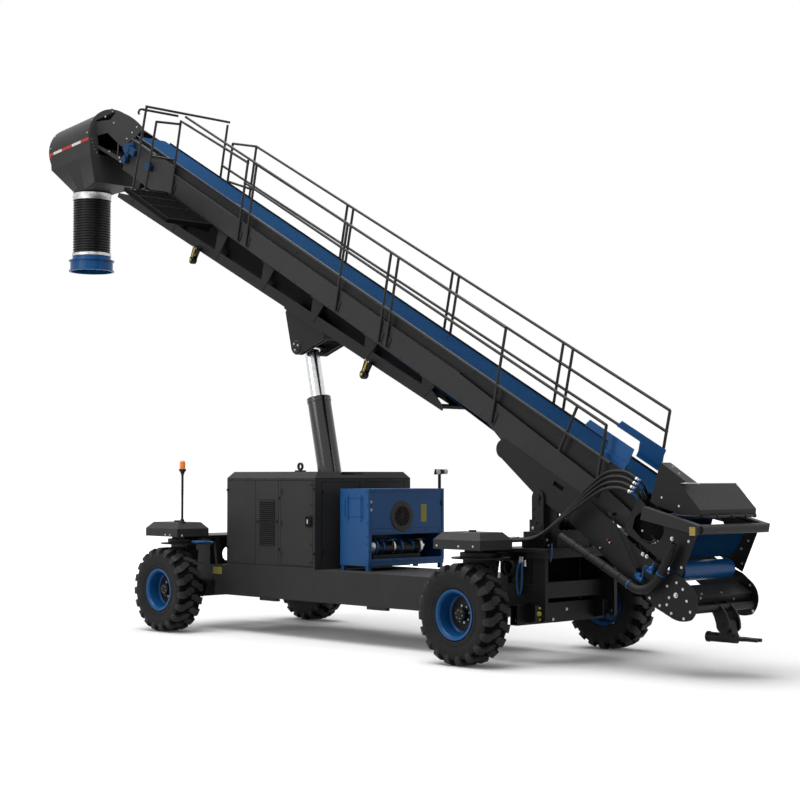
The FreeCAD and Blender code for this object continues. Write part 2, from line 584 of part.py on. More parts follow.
CASTORS = (-9150.0, -4300.0)
CASTOR_R = 70.0
for x in CASTORS:
    z = low_z(x)
    fork = plate_xz([(x - 60, z + 60), (x + 60, z + 60), (x + 36, z - 190), ((x, z - 226), (x - 36, z - 190))],
                    -LOW_Y1 - 8, -LOW_Y1)
    truss.append(fork)
    truss.append(fork.mirror(vec(0, -LOW_Y1 - 44, 0), vec(0, 1, 0)))
    truss.append(box(x - 60, x + 60, -LOW_Y1 - 88, -LOW_Y1, z + 20, z + 60))
save("lower_frame", boom(fuse(truss)))
wheels = []
for x in CASTORS:
    z = low_z(x) - 185
    wheels.append(boom(cyl(CASTOR_R, (x, -LOW_Y1 - 76, z), (x, -LOW_Y1 - 12, z))))
save("frame_castors", wheels)

# lift bracket: a tapered box of plates whose holes leave the rod pin free to drift
BRX, BRW = boom_local(EYE_X, EYE_Z)
PIN_FREE = 83.0
BR0, BR1 = BRX - 520.0, BRX + 520.0
top0, top1 = low_z(BR0) - 1, low_z(BR1) - 1
bracket = []
for y0, y1 in ((-305, -278), (-228, -202), (202, 228), (278, 305)):
    ear = plate_xz([(BR0, top0), (BR0, top0 - 90), (BRX - 130, BRW - 60),
                    ((BRX, BRW - 130), (BRX + 130, BRW - 60)),
                    (BR1, top1 - 120), (BR1, top1)], y0, y1)
    bracket.append(ear.cut(cyl(PIN_FREE, (BRX, y0 - 5, BRW), (BRX, y1 + 5, BRW))))
bracket.append(plate_xz([(BR0, top0 - 24), (BR1, top1 - 24), (BR1, top1), (BR0, top0)], -LOW_Y1, LOW_Y1))
bracket.append(plate_xz([(BR0, top0 - 90), (BR0 + 26, top0 - 106), (BR0 + 26, top0 - 1), (BR0, top0 - 1)],
                        -305, 305))
bracket.append(plate_xz([(BR1 - 26, top1 - 135), (BR1, top1 - 120), (BR1, top1 - 1), (BR1 - 26, top1 - 1)],
                        -305, 305))
save("lift_bracket", boom(fuse(bracket)))

# cheeks: bent plates from the boom's narrow sides out to the wide nose, one each side
cheek_plan = [(-1500, -SIDE_Y - GAP), (300, -SIDE_Y - GAP), (1500, -TAIL_Y), (2760, -TAIL_Y), (2760, -TAIL_Y - 12),
              (1496, -TAIL_Y - 12), (296, -SIDE_Y - 12 - GAP), (-1500, -SIDE_Y - 12 - GAP)]
cheek_side = [(-1230, 400), (1000, 400), (1600, 340), (2000, 330), (2342, 374), (2498, 349),
              ((2700, 215), (2717, -15)), ((2620, -95), (2407, -151)), (2148, -171), (1998, -122),
              (1680, -78), (180, -10), (PIN_X + 110, -12), ((PIN_X, -112), (PIN_X - 112, 5)), (-1180, 139),
              ((-1340, 275), (-1230, 400))]
cheek = plate_xy(cheek_plan, -300, 500).common(plate_xz(cheek_side, -800, 0))
cheek = cheek.cut(cyl(PIN_R + 1, (PIN_X, -600, 0), (PIN_X, 0, 0)))
cheek = cheek.cut(box(-180, 10, -600, 0, 272, 335))
for sname, solid in zip(("near", "far"), both(cheek)):
    save("tail_cheek_" + sname, boom(solid))

# hopper sides, flared out from the boom, each with an oval window over the tail drums
flare_plan = [(1150, -SIDE_Y - GAP), (1300, -TAIL_Y), (2336, -TAIL_Y), (2336, -TAIL_Y - 10), (1294, -TAIL_Y - 10),
              (1140, -SIDE_Y - GAP)]
flare_side = [(1140, 425), (1660, 412), (2000, 385), (2336, 385), (2290, 1010), (1490, 860), (1140, 940)]
hopper = plate_xy(flare_plan, 300, 1100).common(plate_xz(flare_side, -800, 0))
window = plate_xz([(1370, 650), ((1600, 860), (1850, 720)), ((1780, 520), (1560, 480)), (1400, 520)], -800, -500)
hopper = hopper.cut(window)
save("hopper_sides", [boom(s) for s in both(hopper)])

# nose: box member and tube between the nose plates, with two curved lugs
px, pw = COUPLER_PIN
nose = [box(2330, 2590, -TAIL_Y + GAP, TAIL_Y - GAP, 40, 235).cut(
    box(2340, 2580, -TAIL_Y + 10, TAIL_Y - 10, 50, 225)),
    cyl(50, (2660, -TAIL_Y + GAP, 95), (2660, TAIL_Y - GAP, 95))]
for y in (-130, 100):
    nose.append(plate_xz([(2560, 40), (2600, 145), ((2760, 130), (px + 102, pw + 5)),
                          ((px + 20, pw - 102), (px - 88, pw - 50)),
                          ((2690, -30), (2560, 40))], y, y + 30).cut(
                              box(2330, 2590, -200, 200, 40, 235)))
nose.append(cyl(25.5, (px, -140, pw), (px, 140, pw)))
save("hitch_clevis", boom(fuse(nose)))
cx, cz = boom_point(px, pw)
TOW_Z = 478.0
link = [cyl(66, (cx, -70, cz), (cx, 70, cz)),
        plate_xz([(cx - 66, cz), (cx + 66, cz), (cx + 110, TOW_Z), (cx - 120, TOW_Z)], -62, 62),
        cyl(60, (cx - 300, 0, TOW_Z), (cx + 120, 0, TOW_Z)),
        cyl(68, (cx - 318, 0, TOW_Z), (cx - 290, 0, TOW_Z)),
        plate_xy([(cx + 60, -90), (cx + 250, -90), (cx + 290, -60), (cx + 445, -60), (cx + 445, 60),
                  (cx + 290, 60), (cx + 250, 90), (cx + 60, 90)], TOW_Z - 20, TOW_Z + 20)]
link = cut(fuse(link), [cyl(26.5, (cx, -80, cz), (cx, 80, cz)),
                        cyl(27, (cx + 230, 0, TOW_Z - 30), (cx + 230, 0, TOW_Z + 30)),
                        box(cx + 350, cx + 460, -22, 22, TOW_Z - 30, TOW_Z + 30)])
save("coupler_block", link)

# bumper hoop round the hopper's mouth
arm = plate_xz([(1490, 885), (1530, 725), (2371, 990), (2337, 1098)], -766, -TAIL_Y - 10 - GAP)
arm = arm.cut(plate_xz([(1480, 850), (1545, 755), (2250, 980), (2225, 1045)], -756, -TAIL_Y - 10))
bar = plate_xz([(2337, 1098), (2296, 1090), (2310, 1012), (2371, 990), ((2392, 1050), (2337, 1098))],
               -TAIL_Y - 60, TAIL_Y + 60)
save("tail_bumper", boom(fuse(both(arm) + [bar])))

# cover over the intake: a folded sheet open below and behind, and a near wall that
# runs on uphill with a flanged top
COVER_Y = 600.0
COVER_T = 6.0
cover_side = [(1560, 935), (1739, 1357), (2163, 1219), (2198, 1140), (2075, 1060)]
hollow_side = [(1500, 900), (1600, 1200), (1735, 1350), (2159, 1213), (2191, 1140), (2080, 1050), (2075, 1000)]
skin = plate_xz(cover_side, -COVER_Y, COVER_Y).cut(plate_xz(hollow_side, -COVER_Y + COVER_T, COVER_Y - COVER_T))
cheek_wall = plate_xz([(1739, 1357), (1833, 1421), (1364, 1447), (1366, 1389), (1449, 933), (1570, 940)],
                      -COVER_Y, -COVER_Y + COVER_T)
flange = plate_xz([(1364, 1441), (1833, 1415), (1833, 1421), (1364, 1447)], -COVER_Y, -COVER_Y + 200)
save("tail_cover", boom(fuse([skin, cheek_wall, flange])))

# blue guard boards over the belt's edges, just above the intake
guard = plate_xz([(-150, 1195), (-100, 1300), (735, 1300), (740, 1060), (340, 1060), (300, 1195)],
                 -SKIRT_Y + 32, -SKIRT_Y + 40)
strap = box(330, 740, -SKIRT_Y + 6 + GAP, -SKIRT_Y + 32, 990, 1075)
save("hopper_guards", [boom(s) for s in both(fuse([guard, strap]))])


# ---------------------------------------------------------------------------
# Hoses and pipes along the boom's near side
# ---------------------------------------------------------------------------
def pipe(points, r):
    """A tube through a route of straight runs joined by tangent arcs; prints its radii."""
    p = [vec(*q) for q in points]
    edges = []
    here = p[0]
    length = 0.0
    for i in range(1, len(p) - 1):
        a, b = p[i] - p[i - 1], p[i + 1] - p[i]
        turn = a.getAngle(b)
        back = 0.45 * min(a.Length, b.Length)
        start = p[i] - a.normalize() * back
        end = p[i] + b.normalize() * back
        radius = back / math.tan(turn / 2)
        out = (end - p[i]) + (start - p[i])
        reach = radius / math.cos(turn / 2) - radius
        middle = p[i] + out.normalize() * reach
        edges += [Part.LineSegment(here, start).toShape(), Part.Arc(start, middle, end).toShape()]
        length += here.distanceToPoint(start) + radius * turn
        here = end
        print("   radius %.0f" % radius)
    edges.append(Part.LineSegment(here, p[-1]).toShape())
    length += here.distanceToPoint(p[-1])
    ring = Part.Wire([Part.Circle(p[0], p[1] - p[0], r).toShape()])
    solid = Part.Wire(edges).makePipeShell([ring], True, False)
    print("   length %.0f  volume ratio %.4f" % (length, solid.Volume / (math.pi * r * r * length)))
    return solid


HOSE_R = 22.5
HOSES = 4
hoses = []
for i in range(HOSES):
    y = -552.0 - 50.0 * i
    drop = 72.0 * i
    hoses.append(pipe([(3290, y, 1640 - 8 * i), (3580, y, 1652 - 8 * i), (3870, y, 1745 - 0.3 * drop),
                       (4280 + 0.3 * drop, y, 2050 - 0.45 * drop), (4660 + 0.4 * drop, y, 2365 - 0.8 * drop),
                       (4930 + 0.3 * drop, y, 2530 - drop), (5230, y, 2545 - 0.95 * drop),
                       (5450, y, 2440 - 0.7 * drop)], HOSE_R))
save("hydraulic_hoses", hoses)
DUCT_Y = -755.0
duct = pipe([(4330, DUCT_Y, 1705), (4815, DUCT_Y, 1462), (5300, DUCT_Y, 1215), (5600, DUCT_Y, 1050),
             (5830, DUCT_Y, 1120), (5990, DUCT_Y, 1350), (6112, DUCT_Y, 1590)], 55)
duct = fuse([duct, tube(40, 28, (6112, DUCT_Y, 1590), (6150, DUCT_Y, 1665))])
strut = fuse([cyl(12.5, (5140, -715, 2006), (5516, -715, 1328)),
              cyl(30, (5140, -715 - 22, 2006), (5140, -640, 2006)),
              cyl(34, (5516, -715 - 24, 1320), (5516, -TAIL_Y - 13 - GAP, 1320))])
save("service_pipes", [duct, strut])

# ---------------------------------------------------------------------------
# Discharge head: throat on the boom's end, drum-shaped hood, hopper and collar
# ---------------------------------------------------------------------------


def head(shape):
    """From the hood's own frame (its round face at x = 0, its axis along X) to its place."""
    s = shape.copy()
    s.rotate(vec(0, 0, 0), vec(0, 1, 0), -HOOD_TILT)
    s.translate(vec(HOOD_FACE[0], 0, HOOD_FACE[1]))
    return s


FACE_T = 12.0
THROAT_Y = SIDE_Y
PLY = 6.0


def d_ring(inset, z):
    """A collar-shaped ring: round at the chute, square towards the boom."""
    r = CHUTE_R - inset
    cx0 = (CHUTE_X - HOOD_FACE[0]) / math.cos(math.radians(HOOD_TILT))
    ring = [(-30.0 - inset, -490.0 + inset), (cx0 + 180, -r), (cx0, -r), (cx0 - 0.7 * r, -0.7 * r), (cx0 - r, 0),
            (cx0 - 0.7 * r, 0.7 * r), (cx0, r), (cx0 + 180, r), (-30.0 - inset, 490.0 - inset)]
    return [(x, y, z) for x, y in ring]


def square_ring(inset, z):
    a, b, h = -inset, -HOOD_L + inset, HOOD_R - inset
    ring = [(a, -h), (-400.0, -h), (-900.0, -h), (b + 60, -h), (b, 0), (b + 60, h), (-900.0, h), (-400.0, h),
            (a, h)]
    return [(x, y, z) for x, y in ring]


def hood_solid(inset, bottom):
    drum_part = cyl(HOOD_R - inset, (-inset, 0, 0), (-HOOD_L + inset, 0, 0))
    walls = loft(square_ring(inset, -330.0), square_ring(inset, 0.0))
    funnel = loft(d_ring(inset, bottom), square_ring(inset, -330.0))
    return fuse([drum_part, walls, funnel])


collar = tube(CHUTE_R, CHUTE_R - PLY, (CHUTE_X, 0, 7838), (CHUTE_X, 0, 7990))
face = fuse([cyl(HOOD_R + 26, (0, 0, 0), (FACE_T, 0, 0)),
             plate_yz([(-HOOD_R - 26, 0), (-HOOD_R - 26, -340), (-520, -862), (520, -862), (HOOD_R + 26, -340),
                       (HOOD_R + 26, 0)], 0, FACE_T)])
hood = head(fuse([hood_solid(0.0, -850.0), face]))
hood = hood.cut(head(hood_solid(PLY, -850.0 + PLY)))
hood = hood.cut(head(box(-50, 50, -THROAT_Y + 30, THROAT_Y - 30, -330, 225)))
hood = hood.cut(cyl(CHUTE_R - PLY, (CHUTE_X, 0, 7800), (CHUTE_X, 0, 8080)))
hood = hood.fuse(collar.cut(head(hood_solid(PLY, -850.0 + PLY))))
eyebolt = tube(34, 18, (-7330, -8, 9352), (-7330, 8, 9352)).fuse(cyl(16, (-7330, 0, 9270), (-7330, 0, 9322)))
hood = hood.fuse(eyebolt).removeSplitter()
save("head_hood", hood)

# throat: a tall guard plate on the near side with a window below it, a low far wall,
# a roof that sheds to the far side above the window, and a floor
guard_path = [(-12595, 1163), ((-12118, 1227), (-11642, 1179)), (-11835, 925), (-11953, 808), (-12119, 650),
              (-12357, 672), (-12697, 712), (-13026, 529), (-13300, 500), (-13300, 700), (-12735, 950)]
near_guard = plate_xz(guard_path, -THROAT_Y, -THROAT_Y + PLY)
side_rail = plate_xz([(-13300, 330), (HEAD_X - GAP, 395), (HEAD_X - GAP, 470), (-12120, 455), (-13300, 385)],
                     -THROAT_Y, -THROAT_Y + PLY)
window_bar = plate_xz([(-12300, 690), (-12255, 690), (-12150, 440), (-12195, 440)], -THROAT_Y, -THROAT_Y + PLY)
far_wall = plate_xz([(-13300, 330), (HEAD_X - GAP, 395), (HEAD_X - GAP, 700), (-12200, 850), (-13300, 850)],
                    THROAT_Y - PLY, THROAT_Y)
ROOF_NEAR, ROOF_FAR = 1120.0, 850.0
roof = plate_yz([(-THROAT_Y + 1, ROOF_NEAR), (THROAT_Y, ROOF_FAR - 6), (THROAT_Y, ROOF_FAR),
                 (-THROAT_Y + 1, ROOF_NEAR + 6)], -12690, -12260)
eave = loft([(-12690, -THROAT_Y + 1, ROOF_NEAR), (-12690, THROAT_Y, ROOF_FAR - 6), (-12690, THROAT_Y, ROOF_FAR),
             (-12690, -THROAT_Y + 1, ROOF_NEAR + 6)],
            [(-13300, -THROAT_Y + 1, 694), (-13300, THROAT_Y, 694), (-13300, THROAT_Y, 700),
             (-13300, -THROAT_Y + 1, 700)])
floor = plate_xz([(-13300, 330), (HEAD_X - GAP, 395), (HEAD_X - GAP, 401), (-13300, 336)], -THROAT_Y, THROAT_Y)
throat = boom(fuse([near_guard, side_rail, window_bar, far_wall, roof, eave, floor]))
throat = throat.cut(head(box(-3000, FACE_T + GAP, -900, 900, -1500, 1500)))
save("head_throat", throat)

# corrugated bellows and the blue clamp ring at its end
RIBS = 12
RIB_PITCH = 1190.0 / RIBS
BELLOWS_Z = 7838.0 - GAP
outside = [(CHUTE_R, BELLOWS_Z)]
for i in range(RIBS):
    z = BELLOWS_Z - i * RIB_PITCH
    outside += [(CHUTE_R, z - 0.35 * RIB_PITCH), (CHUTE_R - 20, z - 0.6 * RIB_PITCH), (CHUTE_R, z - RIB_PITCH)]
inside = [(CHUTE_R - 30, outside[-1][1]), (CHUTE_R - 30, BELLOWS_Z)]
save("chute_bellows", turned_z(outside + inside, CHUTE_X, 0))
ZB = outside[-1][1] - GAP
save("chute_ring", turned_z([(344, ZB), (356, ZB), (362, ZB - 68), (425, ZB - 74), (425, ZB - 92), (398, ZB - 96),
                             (398, ZB - 262), (425, ZB - 266), (425, ZB - 284), (386, ZB - 284), (386, ZB - 92),
                             (344, ZB - 82)], CHUTE_X, 0))

# ---------------------------------------------------------------------------
# Handrails: leaning posts on foot pads, tube rails, the crossover and the landing
# ---------------------------------------------------------------------------
LEAN = math.tan(math.radians(POST_LEAN))
FOOT = 485.0
RAIL_Y = SIDE_Y + 25.0


def post(top_x, sy, top):
    """A post given by its top; its pad sits on the side plate."""
    foot_x = top_x + LEAN * (top - FOOT)
    y0, y1 = sorted((sy * (SIDE_Y + GAP), sy * (SIDE_Y + 12)))
    return [cyl(RAIL_R, (foot_x, sy * RAIL_Y, FOOT), (top_x, sy * RAIL_Y, top)),
            box(foot_x - 75, foot_x + 45, y0, y1, FOOT - 10, FOOT + 160)]


def rail(x0, x1, sy, w0, w1=None):
    return cyl(RAIL_R, (x0, sy * RAIL_Y, w0), (x1, sy * RAIL_Y, w1 or w0))


CROSS_X = -10500.0
NEAR_POSTS = (-8500.0, -8250.0, -5700.0, -4590.0, -4406.0, -1950.0)
near = []
for x in NEAR_POSTS:
    near += post(x, -1, RAIL_TOP)
near += post(-10600.0, -1, 1690.0) + post(264.0, -1, 1410.0)
near += [rail(CROSS_X, -1950, -1, RAIL_TOP + 30, RAIL_TOP), rail(-10600, -8470, -1, 1690, 1725),
         rail(-8410, 264, -1, 1405), rail(-11830, -11000, -1, 900), rail(-8430, 560, -1, 1000)]
near.append(cyl(RAIL_R, (-290, -RAIL_Y, 1405), (-290, -RAIL_Y, 730)))
save("handrail_near", boom(fuse(near)))

FAR_POSTS = (-9545.0, -6850.0, -6690.0, -4130.0, -3980.0, -1640.0, -1440.0, 464.0)
far = []
for x in FAR_POSTS:
    far += post(x, 1, RAIL_TOP - 20)
far += post(CROSS_X, 1, RAIL_TOP + 30) + post(-10197.0, 1, 1560.0)
far += [rail(-9545, 464, 1, RAIL_TOP - 20), rail(-10197, -9545, 1, 1560, RAIL_TOP - 20),
        rail(-9480, 560, 1, 1476), rail(-10300, 640, 1, 1110, 1190), rail(-9990, -9300, 1, 925, 1050)]
save("handrail_far", boom(fuse(far)))

# landing: grating frame outboard on the near side, with a gate of posts at its upper end
LAND_X0, LAND_X1 = -10330.0, -8900.0
LAND_Y0, LAND_Y1 = -1360.0, -SIDE_Y - 30.0
GRATING_BARS = 16
landing = [box(LAND_X0, LAND_X1, y, y + 6, 426, 456)
           for y in (LAND_Y0 + 48 + i * 48.0 for i in range(GRATING_BARS))]
for y in (LAND_Y0, -1060, -760, LAND_Y1 - 40):
    landing.append(box(LAND_X0, LAND_X1, y, y + 40, 380, 456 if y in (LAND_Y0, LAND_Y1 - 40) else 427))
for x in (LAND_X0, -9960, LAND_X1 - 40):
    landing.append(box(x, x + 40, LAND_Y0, LAND_Y1, 440, 456))
for x in (LAND_X0, -9600, LAND_X1 - 60):
    landing.append(box(x, x + 60, LAND_Y0, -SIDE_Y - GAP, 380, 447))
    landing.append(plate_yz([(-1000, 381), (-SIDE_Y - 14, 381), (-SIDE_Y - 14, 300)], x + 24, x + 36))
save("landing_floor", boom(fuse(landing)))
FLOOR_TOP = 456.0 + GAP


def gate_post(y, top_x, top):
    foot_x = top_x + 0.23 * (top - FLOOR_TOP)
    return fuse([cyl(RAIL_R, (foot_x, y, FLOOR_TOP + 7), (top_x, y, top)),
                 box(foot_x - 55, foot_x + 55, y - 40, y + 40, FLOOR_TOP, FLOOR_TOP + 10)])


def across(x, w, y0, y1, x1=None, w1=None):
    return cyl(RAIL_R, (x, y0, w), (x if x1 is None else x1, y1, w if w1 is None else w1))


GATE_Y = (-1250.0, -960.0)
near_side = -RAIL_Y - RAIL_R - GAP
gate = [gate_post(GATE_Y[0], -10560.0, 1860.0), gate_post(GATE_Y[1], -10570.0, 1620.0),
        across(-10540.0, 1845.0, GATE_Y[0] - 20, RAIL_Y + 40, CROSS_X - 20, 1845.0),
        across(-10615.0, 1765.0, GATE_Y[0] - 10, -RAIL_Y - 80),
        across(-10568.0, 1610.0, GATE_Y[1], near_side - 4, -10568.0, 1640.0),
        across(-10440.0, 1030.0, GATE_Y[1], near_side - 4)]
gate.append(pipe([(-10612, GATE_Y[0] + 40, 1765), (-10622, GATE_Y[0] - 60, 1765), (-10632, GATE_Y[0] - 75, 1700),
                  (-10636, GATE_Y[0] - 45, 1668)], RAIL_R - 3))
save("landing_rail", boom(fuse(gate)))
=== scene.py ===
import bpy
import bmesh
from math import cos, hypot, pi, radians, sin
from mathutils import Vector, Matrix


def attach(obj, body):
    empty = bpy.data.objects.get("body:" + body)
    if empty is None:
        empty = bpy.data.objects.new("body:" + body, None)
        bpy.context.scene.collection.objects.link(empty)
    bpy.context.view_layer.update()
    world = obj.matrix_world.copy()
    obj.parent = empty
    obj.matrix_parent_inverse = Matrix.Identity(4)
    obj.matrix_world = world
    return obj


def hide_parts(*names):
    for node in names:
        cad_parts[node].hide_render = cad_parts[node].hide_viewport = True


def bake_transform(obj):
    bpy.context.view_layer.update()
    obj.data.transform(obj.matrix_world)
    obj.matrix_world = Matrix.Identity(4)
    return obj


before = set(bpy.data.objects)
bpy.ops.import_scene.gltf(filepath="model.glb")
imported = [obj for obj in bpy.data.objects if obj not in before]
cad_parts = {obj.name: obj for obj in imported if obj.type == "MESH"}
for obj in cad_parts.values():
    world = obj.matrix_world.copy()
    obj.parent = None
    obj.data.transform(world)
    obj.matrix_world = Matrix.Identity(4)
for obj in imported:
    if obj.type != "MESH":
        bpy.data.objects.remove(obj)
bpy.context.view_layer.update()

# ------------------------------------------------------------
# Camera
# It stands off the intake corner on the near side, a little above head height,
# and looks slightly up along the boom.
def placed(name, data):
    """A new object in the scene."""
    made = bpy.data.objects.new(name, data)
    bpy.context.collection.objects.link(made)
    return made


camera_azimuth = 46.285
camera_look_up = 2.676
camera_place = Vector((18.345, -17.068, 2.489))
camera_data = bpy.data.cameras.new("camera")
camera_data.sensor_width = 36.0
camera_data.lens = 73.4
camera_data.clip_end = 400.0
camera = placed("camera", camera_data)
camera.location = camera_place
camera.rotation_euler = (radians(90 + camera_look_up), 0.0, radians(camera_azimuth))
bpy.context.scene.camera = camera
bpy.context.scene.view_settings.view_transform = "Standard"

# ------------------------------------------------------------
# Floor and studio
# A pale seamless floor under a white room. A broad softbox hangs over the near
# side of the machine, a second stands off its rear corner, and a weak one fills
# the intake end.
floor_reach = 160.0
room_glow = 0.25
white = (1.0, 1.0, 1.0, 1.0)


def fill(tree, made, inputs):
    """Gives each input of a node a value, or joins it to another node's output."""
    for key, value in inputs.items():
        if isinstance(value, bpy.types.NodeSocket):
            tree.links.new(value, made.inputs[key])
        else:
            made.inputs[key].default_value = value
    return made.outputs


def node(tree, kind, inputs={}, **settings):
    """Adds a node, sets it up, fills its inputs and returns its outputs."""
    made = tree.nodes.new(kind if "Node" in kind else f"ShaderNode{kind}")
    for key, value in settings.items():
        setattr(made, key, value)
    return fill(tree, made, inputs)


def emptied(owner):
    """The node tree of a material or world, with nothing in it."""
    owner.use_nodes = True
    owner.node_tree.nodes.clear()
    return owner.node_tree


def softbox(name, place, aim, width, height, watts):
    """A rectangular lamp that points at a spot on the machine."""
    data = bpy.data.lights.new(name, "AREA")
    data.shape = "RECTANGLE"
    data.size = width
    data.size_y = height
    data.energy = watts
    lamp = placed(name, data)
    lamp.location = place
    lamp.rotation_euler = (Vector(aim) - Vector(place)).to_track_quat("-Z", "Y").to_euler()


# Rays from the camera and mirror-like ones see a nearly white floor that glows
# more away from the machine; the rest see plain grey.
floor_material = bpy.data.materials.new("pale floor")
tree = emptied(floor_material)
seen = node(tree, "LightPath")
shown = node(tree, "Math", {0: seen["Is Camera Ray"], 1: seen["Is Glossy Ray"]}, operation="MAXIMUM")
white_or_grey = node(tree, "Mix", {"A": (0.42, 0.42, 0.42, 1.0), "B": (0.9, 0.9, 0.9, 1.0),
    "Factor": shown[0]}, data_type="RGBA")
matt = node(tree, "BsdfDiffuse", {"Color": white_or_grey["Result"]})
spot = node(tree, "TexCoord")
reach = node(tree, "VectorMath", {0: spot["Object"]}, operation="LENGTH")
fade = node(tree, "MapRange", {"From Min": 6.5, "From Max": 24.0, "To Min": 0.05, "To Max": 1.0,
    "Value": reach["Value"]}, interpolation_type="SMOOTHSTEP")
lit = node(tree, "Math", {0: fade["Result"], 1: shown[0]}, operation="MULTIPLY")
glow = node(tree, "Emission", {"Color": white, "Strength": lit[0]})
both = node(tree, "AddShader", {0: matt[0], 1: glow[0]})
node(tree, "OutputMaterial", {"Surface": both[0]})
floor_mesh = bpy.data.meshes.new("floor")
floor_corners = [(-floor_reach, -floor_reach, 0), (floor_reach, -floor_reach, 0),
    (floor_reach, floor_reach, 0), (-floor_reach, floor_reach, 0)]
floor_mesh.from_pydata(floor_corners, [], [(0, 1, 2, 3)])
floor = placed("floor", floor_mesh)
floor.data.materials.append(floor_material)

world = bpy.data.worlds.new("white room")
bpy.context.scene.world = world
tree = emptied(world)
room = node(tree, "Background", {"Color": white, "Strength": room_glow})
bright = node(tree, "Background", {"Color": white, "Strength": 1.0})
seen = node(tree, "LightPath")
sharp = node(tree, "Math", {0: seen["Is Camera Ray"], 1: seen["Is Transmission Ray"]}, operation="MAXIMUM")
mirrored = node(tree, "Math", {0: sharp[0], 1: seen["Is Glossy Ray"]}, operation="MAXIMUM")
pick = node(tree, "MixShader", {0: mirrored[0], 1: room[0], 2: bright[0]})
node(tree, "OutputWorld", {"Surface": pick[0]})
softbox("overhead softbox", (-2.0, -2.0, 19.0), (0.0, 0.0, 2.0), 26.0, 16.0, 5200.0)
softbox("near softbox", (-7.0, -21.0, 11.0), (-1.0, 0.0, 3.5), 13.0, 9.0, 1300.0)
softbox("intake fill", (20.0, 3.0, 9.0), (3.0, 0.0, 2.5), 8.0, 6.0, 260.0)

# ------------------------------------------------------------
# Tyres
# Wide loader tyres: a moulded rubber carcass with a scuff rib on the sidewall,
# and slanted lugs that run from the middle of the tread over the shoulder.
tyre_radius = 0.675
bead_radius = 0.338
wheel_base = 6.62
wheel_out = 1.525
lugs_per_side = 19
# Radius beyond which the carcass takes the darker rubber, as painted shade in the grooves.
groove_shade_from = 0.6
wheels = [(end, side, ex * wheel_base / 2, sy * wheel_out, sy) for end, ex in (("front", 1), ("rear", -1))
    for side, sy in (("near", -1), ("far", 1))]


def new_material(name):
    """A material, its node tree, and the socket that gives a place on the piece."""
    made = bpy.data.materials.new(name)
    made.use_nodes = True
    return made, made.node_tree, node(made.node_tree, "TexCoord")["Object"]


def noise(tree, place, scale, detail, roughness=0.5):
    """Noise over a piece, from 0 to 1."""
    return node(tree, "TexNoise", {"Scale": scale, "Detail": detail, "Roughness": roughness,
        "Vector": place})["Fac"]


def ramp(tree, factor, *stops):
    """A blend between two colours, each given as (place on the scale, colour)."""
    made = tree.nodes.new("ShaderNodeValToRGB")
    for element, (position, colour) in zip(made.color_ramp.elements, stops):
        element.position = position
        element.color = (*colour, 1.0)
    return fill(tree, made, {"Fac": factor})["Color"]


def spread(tree, value, low, high, from_low=0.0, from_high=1.0):
    """A value moved from one range to another."""
    return node(tree, "MapRange", {"From Min": from_low, "From Max": from_high, "To Min": low,
        "To Max": high, "Value": value})["Result"]


def shade(tree, inputs):
    """Fills the inputs of a material's main shader."""
    fill(tree, tree.nodes["Principled BSDF"], inputs)


def rubber(name, colour, rough, dust, grain_scale, grain_depth, gloss=0.16):
    """Vulcanised rubber: nearly black, dusty in patches, with a fine moulded grain."""
    made, tree, place = new_material(name)
    patches = noise(tree, place, 3.5, 7.0, 0.62)
    bump = node(tree, "Bump", {"Strength": 0.35, "Distance": grain_depth,
        "Height": noise(tree, place, grain_scale, 4.0)})
    shade(tree, {"Base Color": ramp(tree, patches, (0.38, colour), (0.72, dust)),
        "Roughness": spread(tree, patches, rough - 0.08, rough + 0.12), "Normal": bump["Normal"],
        "Specular IOR Level": gloss})
    return made


def finished(obj):
    """Turns an object's modifiers into plain mesh, so nothing live is left on it."""
    bpy.context.view_layer.update()
    evaluated = obj.evaluated_get(bpy.context.evaluated_depsgraph_get())
    plain = bpy.data.meshes.new_from_object(evaluated)
    obj.modifiers.clear()
    obj.data = plain
    return obj


def mesh_object(name, verts, faces, smooth=None):
    """A new piece in the scene; edges flatter than the smooth angle are shaded smooth."""
    mesh = bpy.data.meshes.new(name)
    mesh.from_pydata([tuple(v) for v in verts], [], faces)
    mesh.validate()
    made = placed(name, mesh)
    if smooth is not None:
        mesh.shade_smooth()
        mesh.set_sharp_from_angle(angle=radians(smooth))
    return made


def lathe(profile, turns, closed=True):
    """Verts and faces of a (radius, y) outline turned round the Y axis."""
    verts = [(r * cos(2 * pi * k / turns), y, r * sin(2 * pi * k / turns))
        for k in range(turns) for r, y in profile]
    n = len(profile)
    faces = []
    for k in range(turns):
        for i in range(n if closed else n - 1):
            a, b = k * n + i, k * n + (i + 1) % n
            c, d = ((k + 1) % turns) * n + (i + 1) % n, ((k + 1) % turns) * n + i
            faces.append((a, b, c, d))
    return verts, faces


def copying_tree(name, wholes, lengths):
    """A tree whose inputs are a mesh, whole numbers, decimals and a material."""
    tree = bpy.data.node_groups.new(name, "GeometryNodeTree")
    for label, way, kind in [("Geometry", "INPUT", "Geometry"), *[(label, "INPUT", "Int")
            for label in wholes], *[(label, "INPUT", "Float") for label in lengths],
            ("Material", "INPUT", "Material"), ("Geometry", "OUTPUT", "Geometry")]:
        tree.interface.new_socket(label, in_out=way, socket_type=f"NodeSocket{kind}")
    return tree, node(tree, "NodeGroupInput")


def put_copies(tree, given, points, instance, rotation):
    """Stands a copy at each point, makes the copies plain mesh and gives them the material."""
    copies = node(tree, "GeometryNodeInstanceOnPoints", {"Points": points,
        "Instance": instance, "Rotation": rotation})
    real = node(tree, "GeometryNodeRealizeInstances", {0: copies[0]})
    coat = node(tree, "GeometryNodeSetMaterial", {"Geometry": real[0], "Material": given["Material"]})
    node(tree, "NodeGroupOutput", {0: coat[0]})
    return tree


